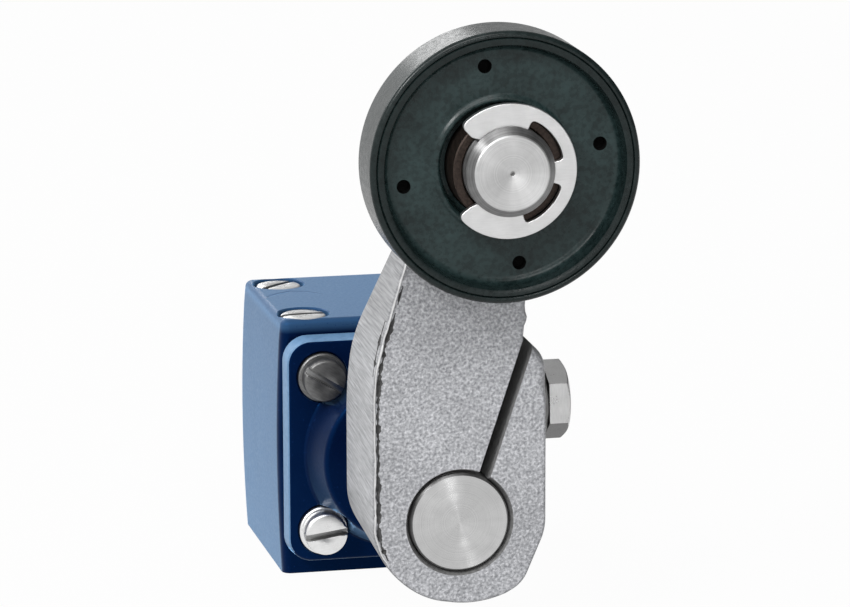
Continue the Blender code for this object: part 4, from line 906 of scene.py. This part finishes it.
def tangent_point(point, centre, radius, side):
    to_centre = Vector(centre) - Vector(point)
    length = math.sqrt(to_centre.length_squared - radius * radius)
    swing = math.asin(radius / to_centre.length) * side
    ahead = to_centre.normalized()
    x = ahead.x * math.cos(swing) - ahead.y * math.sin(swing)
    y = ahead.x * math.sin(swing) + ahead.y * math.cos(swing)
    return point[0] + x * length, point[1] + y * length


def bent(corner, before, after, reach, steps):
    """Curve that rounds a corner, starting and ending at a distance from it."""
    here = Vector(corner)
    first = here + (Vector(before) - here).normalized() * reach
    last = here + (Vector(after) - here).normalized() * reach
    return curve(first, here, last, steps)


def lever_outline(spread, bend_up, reach, lip):
    """Counterclockwise from the bottom of the hub; the left side stands out by the spread."""
    end, foot = (AXLE_X, AXLE_UP), ARM_RIGHT[0][:2]
    bend, low = (-HUB_R - spread, bend_up), (-HUB_R - spread, 0.0)
    facet_top, jaw_top = (JAW_REACH, FACET_TOP), (JAW_REACH, JAW_TOP)
    shoulder = JAW_TOP - JAW_SHOULDER
    right = tangent_point(foot, end, ARM_END_R, -1)
    left = tangent_point(bend, end, ARM_END_R + spread / 2, 1)
    first = math.degrees(math.atan2(right[1] - end[1], right[0] - end[0]))
    last = math.degrees(math.atan2(left[1] - end[1], left[0] - end[0])) % 360
    points = arc(FOOT_X, FOOT_R - HUB_R - FOOT_DROP, FOOT_R, FOOT_START, FOOT_END, 14)
    points += bent(FACET_LOW, points[-1], facet_top, FACET_LOW_BEND, 8)
    points += bent(facet_top, FACET_LOW, jaw_top, FACET_TOP_BEND, 6)
    points += divided(points[-1], (JAW_REACH, shoulder), 10)
    points += arc(JAW_REACH - JAW_SHOULDER, shoulder, JAW_SHOULDER, 0, 45, 8)
    points += divided(points[-1], foot, 6)
    points += [(x + lip * share, up) for x, up, share in ARM_RIGHT]
    points += divided(points[-1], right, 12)
    count = 28
    for i in range(count + 1):
        x, y = polar(ARM_END_R + spread / 2 * i / count, first + (last - first) * i / count)
        points.append((AXLE_X + x, AXLE_UP + y))
    turn = bent(bend, left, low, reach, 16)
    points += divided(points[-1], turn[0], 14) + turn + divided(turn[-1], low, 8)
    for angle in range(0, 82, 3):
        x, y = polar(HUB_R * (1 - HUB_FLAT * math.sin(math.radians(2 * angle)) ** 2), 180 + angle)
        points.append((x - spread, y))
    return points


def lever_front():
    return lever_outline(LEVER_DRAFT, *FRONT_BEND, FRONT_LIP)


def lever_rear():
    return lever_outline(0.0, *REAR_BEND, 0.0)


def lever_side():
    """Side view as (up, forward): thick hub, arm tapering from behind."""
    low, high, ahead = -HUB_R - CUT, AXLE_UP + ARM_END_R + CUT, LEVER_FRONT + CUT
    rise = (ARM_BACK - LEVER_BACK) / (TAPER_END - TAPER_START) * TAPER_EASE
    first = Vector((TAPER_START - TAPER_EASE, LEVER_BACK))
    last = Vector((TAPER_START + TAPER_EASE, LEVER_BACK + rise))
    points = [(low, LEVER_BACK)] + curve(first, Vector((TAPER_START, LEVER_BACK)), last, 12)
    return points + [(TAPER_END, ARM_BACK), (high, ARM_BACK), (high, ahead), (low, ahead)]


def edge_stations(inside, low, high):
    """Points a little inside the lever's front left edge, between two heights, going up."""
    outline = lever_front()
    ring = inset(outline, [inside] * len(outline))
    side = [Vector(p) for p in ring if p[0] < 1.0 and low - 1.0 < p[1] < high + 1.0]
    side.sort(key=lambda p: p.y)
    points = []
    for start, stop in zip(side, side[1:]):
        count = max(1, math.ceil((stop - start).length / STATION_STEP))
        points += [start.lerp(stop, k / count) for k in range(count)]
    return [p for p in points if low <= p.y <= high]


def ragged(i, seed, pace=0.35):
    """Uneven number between about -1 and 1 along a row of points."""
    return max(-1.0, min(1.0, 2.2 * noise.noise(Vector((i * pace, seed, 0.5)))))


def edge_groove(name, inside, span, forward, sizes, dark, seed, upright=False):
    """Cutter for the broken dark line beside the casting flash, on the front or upright on the side; its
    dark material is painted shade in the groove.
    """
    points = edge_stations(inside, *span)
    width, depth = sizes
    path = []
    for i, point in enumerate(points):
        across = crosswise(points, i)
        fade = min(1.0, i / FADE_POINTS, (len(points) - 1 - i) / FADE_POINTS)
        rough = 0.6 + 0.3 * ragged(i, seed, 1.3) + 0.4 * ragged(i, seed, 0.3)
        size = max(0.2, rough * max(fade, 0.15))
        spot = Vector((*point, forward)) + across * (0.06 * ragged(i, seed + 7.0, 0.5))
        sides = (Z_AXIS, across) if upright else (across, Z_AXIS)
        path.append((spot, *sides, width * size, depth * size))
    return swept(name, path, ON_SHAFT, dark)


def split_outline():
    """Long gap that opens the hub from the bore to the top of the jaw."""
    tilt = math.radians(SPLIT_TILT)
    along = Vector((math.sin(tilt), math.cos(tilt)))
    across = Vector((math.cos(tilt), -math.sin(tilt)))
    near, far = along * SPLIT_START, along * SPLIT_END
    left, right = across * (SPLIT_SIDE - SPLIT_HALF), across * (SPLIT_SIDE + SPLIT_HALF)
    return [tuple(corner) for corner in (near + left, near + right, far + right, far + left)]


def make_lever(metal, bore_metal, dark, groove):
    ahead = lever_front()
    radii = []
    for x, up in ahead:
        level = JAW_TOP - SHOULDER_DROP < up < JAW_TOP + FIT
        shoulder = level and x > JAW_REACH - SHOULDER_WIDTH
        radii.append(SHOULDER_ROUND if shoulder else EDGE_ROUND)
    loops = [lifted(lever_rear(), LEVER_BACK)] + rounded_loops(ahead, LEVER_FRONT, radii)
    lever = lofted("lever_casting", loops, ON_SHAFT, metal)
    reach = 20.0
    slabs = [[(x, up, forward) for up, forward in lever_side()] for x in (-reach, reach)]
    carve(lever, [lofted("slab", slabs, ON_SHAFT, metal)], "INTERSECT")
    soften(lever, REAR_ROUND, 3, 50.0)
    mouth = [
        (LEVER_BORE_R + MOUTH_WIDTH + CUT, LEVER_FRONT + CUT),
        (LEVER_BORE_R + MOUTH_WIDTH - MOUTH_EDGE, LEVER_FRONT - MOUTH_EDGE),
        (LEVER_BORE_R, LEVER_FRONT - MOUTH_DEPTH),
        (LEVER_BORE_R, LEVER_BACK - CUT),
    ]
    # The cutters' dark materials paint shade inside the bore, the split, the holes and the grooves
    tools = [plug("bore", ON_SHAFT, bore_metal, mouth, 96)]
    tools.append(extruded("split", split_outline(), LEVER_BACK - CUT, LEVER_FRONT + CUT, ON_SHAFT, dark))
    bottom = (BOLT_R + HOLE_ROOM, BOLT_TIP - FIT)
    tools.append(hole("bolt_hole", ON_BOLT, dark, JAW_REACH + CUT, bottom))
    tools.append(hole("axle_hole", ON_AXLE, dark, LEVER_FRONT + CUT, (STEM_R + FIT, ARM_BACK - CUT)))
    for i, span in enumerate(INNER_SPANS):
        seed = INNER_SEED + i
        tools.append(edge_groove(f"inner_{i}", INNER_INSET, span, LEVER_FRONT, INNER_SIZE, groove, seed))
    sizes = OUTER_SPAN, LEVER_FRONT - OUTER_SINK, OUTER_SIZE
    tools.append(edge_groove("outer_line", 0.0, *sizes, groove, OUTER_SEED, upright=True))
    carve(lever, tools)
    even(lever, 40.0)
    show(lever, "lever_arm", "cast_metal", "lever")


def make_flash(metal):
    """Thin ridge of casting flash along the front edge of the lever, on the left; its lighter metal is a
    painted highlight on that edge.
    """
    points = edge_stations(FLASH_INSET, *FLASH_SPAN)
    path = []
    for i, point in enumerate(points):
        across = crosswise(points, i)
        share = i / (len(points) - 1)
        rise = min(1.0, share * 3.0, (1.0 - share) * 8.0)
        height = (FLASH_HEIGHT + FLASH_RISE * rise) * (1.0 + 0.4 * ragged(i, 4.2))
        width = FLASH_WIDTH + 0.03 * ragged(i, 9.1, 0.6)
        spot = Vector((*point, LEVER_FRONT - FLASH_SINK)) + across * (0.05 * ragged(i, 1.7, 0.17))
        path.append((spot, across, Z_AXIS, width, height))
    flash = swept("lever_flash", path, ON_SHAFT, metal)
    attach(flash, "lever_arm")


def ring_profile(bore, radius, low, high, edge):
    """Half section of a washer with broken outer edges."""
    outside = [(radius - edge, high), (radius, high - edge), (radius, low + edge), (radius - edge, low)]
    return [(bore, high), *outside, (bore, low)]


def is_lower_flat(face):
    """Whether a face is the flat of the bolt's head that looks down and to the front; it gets darker
    steel, a painted shade.
    """
    outer = face.center.to_2d().length > HEX_FLAT_R * MM
    return outer and face.normal.x > 0.6 and face.normal.y < -0.3


def make_clamp(plated, dark_steel):
    corner = HEX_WIDTH / math.sqrt(3.0)
    head = [(0.0, BOLT_END), (corner, BOLT_END), (corner, BOLT_SEAT), (0.0, BOLT_SEAT)]
    bolt = turned("hex_bolt", head, ON_BOLT, plated, segments=6, start=HEX_TURN)
    cone = raised(BOLT_CONE, BOLT_END)
    cone.append((BOLT_CONE[-1][0], BOLT_TIP - CUT))
    carve(bolt, [plug("cone", ON_BOLT, plated, cone, 96)], "INTERSECT")
    soften(bolt, 0.08)
    shank = stepped(BOLT_SEAT + OVER, [(BOLT_R, BOLT_TIP + BOLT_CHAMFER)])
    shank.append((BOLT_R - BOLT_CHAMFER, BOLT_TIP))
    carve(bolt, [plug("shank", ON_BOLT, plated, shank)], "UNION")
    repaint(bolt, dark_steel, is_lower_flat)
    even(bolt)
    show(bolt, "lever_arm", "screw_steel", "clamp_bolt")
    ring = ring_profile(BOLT_R + FIT, WASHER_R, WASHER_FACE, WASHER_END, WASHER_EDGE)
    # The washer is darker steel: painted shade in the gap under the bolt's head
    washer = turned("bolt_washer", ring, ON_BOLT, dark_steel)
    show(washer, "lever_arm", "screw_steel", "clamp_washer")


# Roller and its axle

def make_roller(plastic, dark):
    bend = TREAD_ROUND
    profile = arc(ROLLER_R - bend, ROLLER_FRONT - bend, bend, 90, 0, 6)
    profile += arc(ROLLER_R - bend, ROLLER_BACK + bend, bend, 0, -90, 6)
    profile += raised(BACK_RIM, ROLLER_BACK, RIM_R) + raised(BACK_HUB, ROLLER_BACK)
    profile += [(BUSH_R + FIT, ROLLER_BACK), (BUSH_R + FIT, HUB_FLOOR)]
    profile += raised(HUB_LIP, HUB_FLOOR) + raised(HUB_BEAD, WEB_FRONT)
    profile += arc(RIM_R - WEB_FILLET_INSET, WEB_FRONT + WEB_FILLET, WEB_FILLET, 270, 350, 6)
    profile += raised(RIM_EDGE, ROLLER_FRONT, RIM_R) + raised(TREAD_LINE, ROLLER_FRONT, ROLLER_R)
    roller = turned("moulded_roller", profile, ON_AXLE, plastic, segments=160)
    # The dimples are cut with a near-black material: painted shade in the holes
    points = raised(DIMPLE, WEB_FRONT)
    tools = []
    for k in range(4):
        x, up = polar(DIMPLE_RING, DIMPLE_TURN + 90.0 * k)
        tools.append(plug(f"dimple_{k}", front(AXLE_X + x, AXLE_UP + up), dark, points, 32))
    carve(roller, tools)
    even(roller)
    show(roller, "roller", "roller_plastic", "roller")


def make_bush(metal):
    bore = AXLE_R + FIT
    profile = [
        (bore, BUSH_FRONT - FIT), (bore + BUSH_EDGE, BUSH_FRONT),
        (BUSH_R - BUSH_EDGE, BUSH_FRONT), (BUSH_R, BUSH_FRONT - FIT),
        (BUSH_R, BUSH_BACK), (bore, BUSH_BACK),
    ]
    bush = turned("bearing_bush", profile, ON_AXLE, metal)
    show(bush, "roller", "bronze", "roller_bush")


def make_axle(metal, side_metal, plated):
    profile = raised(AXLE_END, AXLE_FRONT)
    profile += stepped(AXLE_FRONT - AXLE_END_DEPTH, [
        (AXLE_R, CLIP_FRONT + FIT),
        (AXLE_GROOVE_R, CLIP_BACK - FIT),
        (AXLE_R, LEVER_FRONT + FIT),
        (STEM_R, ARM_BACK - FIT),
        (RIVET_R, RIVET_EDGE),
    ])
    profile += [(RIVET_R * math.cos(a), RIVET_EDGE - RIVET_DOME * math.sin(a)) for a in RIVET_ANGLES]
    profile.append((0.0, RIVET_EDGE - RIVET_DOME))
    axle = turned("turned_axle", profile, ON_AXLE, metal)
    # Faces outside the axle's end face get darker steel: painted shade on the chamfer and sides
    repaint(axle, side_metal, beyond(AXLE_FACE_R))
    show(axle, "lever_arm", "turned_steel", "roller_axle")
    low, high = depth_of("thrust_washer")
    ring = ring_profile(AXLE_R + FIT, radius_of("thrust_washer"), low, high, 0.1)
    washer = turned("side_washer", ring, ON_AXLE, plated)
    show(washer, "lever_arm", "turned_steel", "thrust_washer")


def clip_outline():
    """Open to the left; rounded arm tips and two slots with rounded ends."""
    outer, tip, slot, bore = 6.77, 5.2, 5.5, 3.8
    tip_round, tip_fillet, slot_round, slot_mouth = 0.7, 0.2, 0.45, 0.25
    first, last = CLIP_ENDS

    def plain(radius, start, end, steps):
        return [(*point, 0.0) for point in arc(0.0, 0.0, radius, start, end, steps)]

    corners = plain(outer, last + 9, first - 9, 72)
    corners += [(*polar(outer, first), tip_round), (*polar(tip, first + 1), tip_round)]
    corners.append((*polar(bore + FIT, first - 8), tip_fillet))
    before, steps = first - 13, 10
    for start, end in CLIP_SLOTS:
        corners += plain(bore, before, start + 6, steps)
        corners += [(*polar(bore, start + 1), slot_mouth), (*polar(slot, start + 1), slot_round)]
        corners += plain(slot, start - 9, end + 9, 10)
        corners += [(*polar(slot, end - 1), slot_round), (*polar(bore, end - 1), slot_mouth)]
        before, steps = end - 6, 8
    corners += plain(bore, before, last + 13, steps)
    corners.append((*polar(bore + FIT, last + 7), tip_fillet))
    corners += [(*polar(tip, last + 1), tip_round), (*polar(outer, last), tip_round)]
    return filleted(corners)


def make_clip(plated):
    outline = clip_outline()
    edges = [CLIP_EDGE] * len(outline)
    loops = [lifted(inset(outline, edges), CLIP_BACK), lifted(outline, CLIP_BACK + CLIP_EDGE)]
    loops += rounded_loops(outline, CLIP_FRONT, edges, 3)
    clip = lofted("retaining_clip", loops, ON_AXLE, plated)
    even(clip)
    show(clip, "lever_arm", "turned_steel", "e_clip")


def make_plunger(metal, brass):
    shoulder = PLUNGER_TOP - PLUNGER_DOME
    angles = [math.pi / 2 * i / 10 for i in range(11)]
    profile = [(PLUNGER_R * math.sin(a), shoulder + PLUNGER_DOME * math.cos(a)) for a in angles]
    profile += [(PLUNGER_R, shoulder - PLUNGER_RIM), (PLUNGER_STEM_R, shoulder - PLUNGER_RIM)]
    profile += raised(PLUNGER_EDGE, PLUNGER_FOOT, PLUNGER_STEM_R)
    profile.append((0.0, PLUNGER_FOOT))
    plunger = turned("plunger_pin", profile, ON_PLUNGER, metal)
    show(plunger, "plunger", "turned_steel", "plunger")
    profile = [(GUIDE_BORE_R, GUIDE_TOP)]
    profile += stepped(GUIDE_TOP, [(GUIDE_TUBE_R, GUIDE_FOOT + GUIDE_FLANGE), (GUIDE_R, GUIDE_FOOT)])
    profile.append((GUIDE_BORE_R, GUIDE_FOOT))
    guide = turned("guide_bush", profile, ON_PLUNGER, brass)
    show(guide, "head", "bronze", "plunger_guide")


# Springs

def bent_wire(name, points, radius, place, surface):
    """Round wire along points that go round the local z axis."""
    path = []
    for i, point in enumerate(points):
        step = heading(points, i).normalized()
        outward = Vector((point.x, point.y, 0.0))
        across = (outward - step * outward.dot(step)).normalized()
        path.append((point, across, step.cross(across), radius, radius))
    return swept(name, path, place, surface)


def make_return_spring(steel):
    """Coil that stands on the guide, under the plunger."""
    low, high = corners_of("return_spring")
    start, end = low.z + RETURN_WIRE_R, high.z - RETURN_WIRE_R
    count = RETURN_TURNS * CURL_POINTS
    points = []
    for i in range(count + 1):
        across = polar(high.x - RETURN_WIRE_R, 360 * i / CURL_POINTS)
        points.append(Vector((*across, start + (end - start) * i / count)))
    spring = bent_wire("plunger_spring", points, RETURN_WIRE_R, ON_PLUNGER, steel)
    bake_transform(spring)
    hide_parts("return_spring")


def on_curl(turn, forward):
    """Point of the torsion spring, an angle round from its ends."""
    return Vector((*polar(TANG_R, TANG_ANGLE + turn), forward))


def make_torsion_spring(steel):
    """Coil round the shaft, between the plate and the cam."""
    back, ahead = depth_of("torsion_spring")
    whole, curl = 360 * TORSION_TURNS, math.degrees(TANG_BEND / TANG_R)
    first, last = [on_curl(0.0, back)], []
    for i in range(5):
        a = math.radians(90 * i / 4)
        along, short = 1 - math.cos(a), 1 - math.sin(a)
        first.append(on_curl(curl * along, TORSION_BACK - TANG_BEND * short))
        last.append(on_curl(whole - curl * short, TORSION_FRONT + TANG_BEND * along))
    count = TORSION_TURNS * CURL_POINTS
    shares = [i / count for i in range(1, count)]
    coil = [on_curl(whole * s, TORSION_BACK + (TORSION_FRONT - TORSION_BACK) * s) for s in shares]
    points = first + coil + last + [on_curl(whole, ahead)]
    spring = bent_wire("centring_spring", points, TORSION_WIRE_R, ON_SHAFT, steel)
    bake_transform(spring)
    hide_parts("torsion_spring")


# Stage

def add_light(name, place, aim, size, power):
    data = bpy.data.lights.new(name, "AREA")
    data.shape = "RECTANGLE"
    data.size, data.size_y = size
    data.energy = power
    lamp = bpy.data.objects.new(name, data)
    bpy.context.scene.collection.objects.link(lamp)
    lamp.location = place
    lamp.rotation_euler = (Vector(aim) - Vector(place)).to_track_quat("-Z", "Y").to_euler()


def add_floor():
    """White to the eye, grey to light that bounces, so that it keeps the object's shadow."""
    g = material("pale_floor", Base_Color=(0.4, 0.4, 0.4, 1.0), Roughness=0.9, Specular_IOR_Level=0.1)
    rays = g.add("LightPath").outputs
    seen = g.calc("MULTIPLY", rays["Is Camera Ray"], 0.97)
    for name in ("Is Glossy Ray", "Is Transmission Ray"):
        seen = g.calc("MAXIMUM", seen, g.calc("MULTIPLY", rays[name], 0.9))
    glow = g.add("Emission").outputs[0]
    mixed = g.add("MixShader", {0: seen, 1: g.shader.outputs[0], 2: glow})
    g.feed(g.tree.nodes["Material Output"], "Surface", mixed.outputs[0])
    bm = bmesh.new()
    bmesh.ops.create_grid(bm, x_segments=2, y_segments=2, size=FLOOR_SIZE)
    place_object("floor", bm, ((0.0, 0.0, -FLOOR_DROP), UPRIGHT), g.owner)


def add_world():
    """White surroundings, a little darker above and much darker to the right."""
    g = Graph(bpy.data.worlds.new("studio"), "Background")
    sky = g.ramp(g.coordinate("Generated", "Z"), [(0.15, 1.0), (0.9, 0.85)])
    side = g.span(g.coordinate("Generated", "X"), -0.2, 0.7, 1.0, 0.14)
    g.feed(g.shader, "Color", g.times(sky, side))
    bpy.context.scene.world = g.owner


def add_stage():
    add_floor()
    add_world()
    for name, settings in LAMPS.items():
        add_light(name, *settings)
    bpy.context.scene.view_settings.view_transform = "Standard"


def dress_rest(steel, wire, rubber, brass):
    """Finish the CAD nodes that stay as they are."""
    finishes = {
        # Black rubber gasket, which also stands in for the shade line between the plate and the block
        "plate_gasket": rubber,
        "shaft_seal": rubber,
        "shaft_bushing": brass,
        "shaft_clip": wire,
        "cam": steel,
        "cam_pin": steel,
    }
    for name, surface in finishes.items():
        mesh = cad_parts[name].data
        mesh.materials.clear()
        mesh.materials.append(surface)


def main():
    add_camera()
    paint, cast = blue_paint(), cast_metal()
    # Dark materials for the cutters: painted shade inside the split and holes, the grooves, the bore and
    # the dimples
    split = dark_cut("split_cut", 0.2, 0.27)
    groove = dark_cut("groove_cut", 0.03, 0.09)
    bore = dark_cut("bore_cut", 0.1, 0.2)
    pit = dark_cut("dimple_cut", 0.002, 0.006, 0.05)
    shaft_steel = turned_metal("shaft_steel", 0.48, 0.59, 0.21, 0.9)
    axle_steel = turned_metal("axle_steel", 0.48, 0.64, 0.5, 0.3)
    # Darker copy of the turned steel for chamfers and sides: painted shade
    axle_side = turned_metal("axle_side_steel", 0.16, 0.3, 0.42, 0.9)
    plated = plated_metal("plated_steel", 0.73, 0.87, 0.3)
    bolt_steel = plated_metal("bolt_steel", 0.46, 0.58, 0.3)
    clip_steel = plated_metal("clip_steel", 0.61, 0.69, 0.36)
    # Darker steel as painted shade: the upper plate screws, the bolt's washer and the bolt's lower flat
    shade_steel = plated_metal("painted_shade_steel", 0.12, 0.22, 0.42)
    # Darker steel for the screw slots: painted shade
    slot_metal = plated_metal("slot_steel", 0.25, 0.4, 0.45)
    wire = plated_metal("wire_steel", 0.35, 0.45, 0.35)
    # Bronze far darker than the metal itself: painted shade, as for the bush deep in the roller's hub
    # recess
    dark, light = (0.02, 0.014, 0.012), (0.06, 0.044, 0.036)
    brass = grainy("bronze", dark, light, 0.25, 0.01, (0.4, 0.6), Metallic=0.8)
    rubber = grainy(
        "black_rubber", 0.008, 0.02, 0.3, 0.01, (0.6, 0.8), Metallic=0.0, Specular_IOR_Level=0.3,
    )
    # Lighter blue for the plate's rim: a painted highlight
    dark, light = (0.1, 0.2, 0.34), (0.14, 0.26, 0.43)
    highlight_rim_material = grainy("painted_highlight_rim", dark, light, 0.5, 0.01, 0.4, Metallic=0.0, Specular_IOR_Level=0.25)

    make_housing(paint)
    make_front_plate(paint, highlight_rim_material)
    make_screws(plated, shade_steel, slot_metal)
    make_shaft(shaft_steel, axle_side)
    make_lever(cast, bore, split, groove)
    # Lighter metal for the flash: a painted highlight along the lever's edge
    make_flash(plated_metal("flash_painted_highlight", 0.58, 0.74, 0.42))
    make_clamp(bolt_steel, shade_steel)
    make_roller(roller_plastic(), pit)
    make_bush(brass)
    make_axle(axle_steel, axle_side, plated)
    make_clip(clip_steel)
    make_plunger(shaft_steel, brass)
    make_return_spring(wire)
    make_torsion_spring(wire)
    dress_rest(shaft_steel, wire, rubber, brass)
    add_stage()


main()
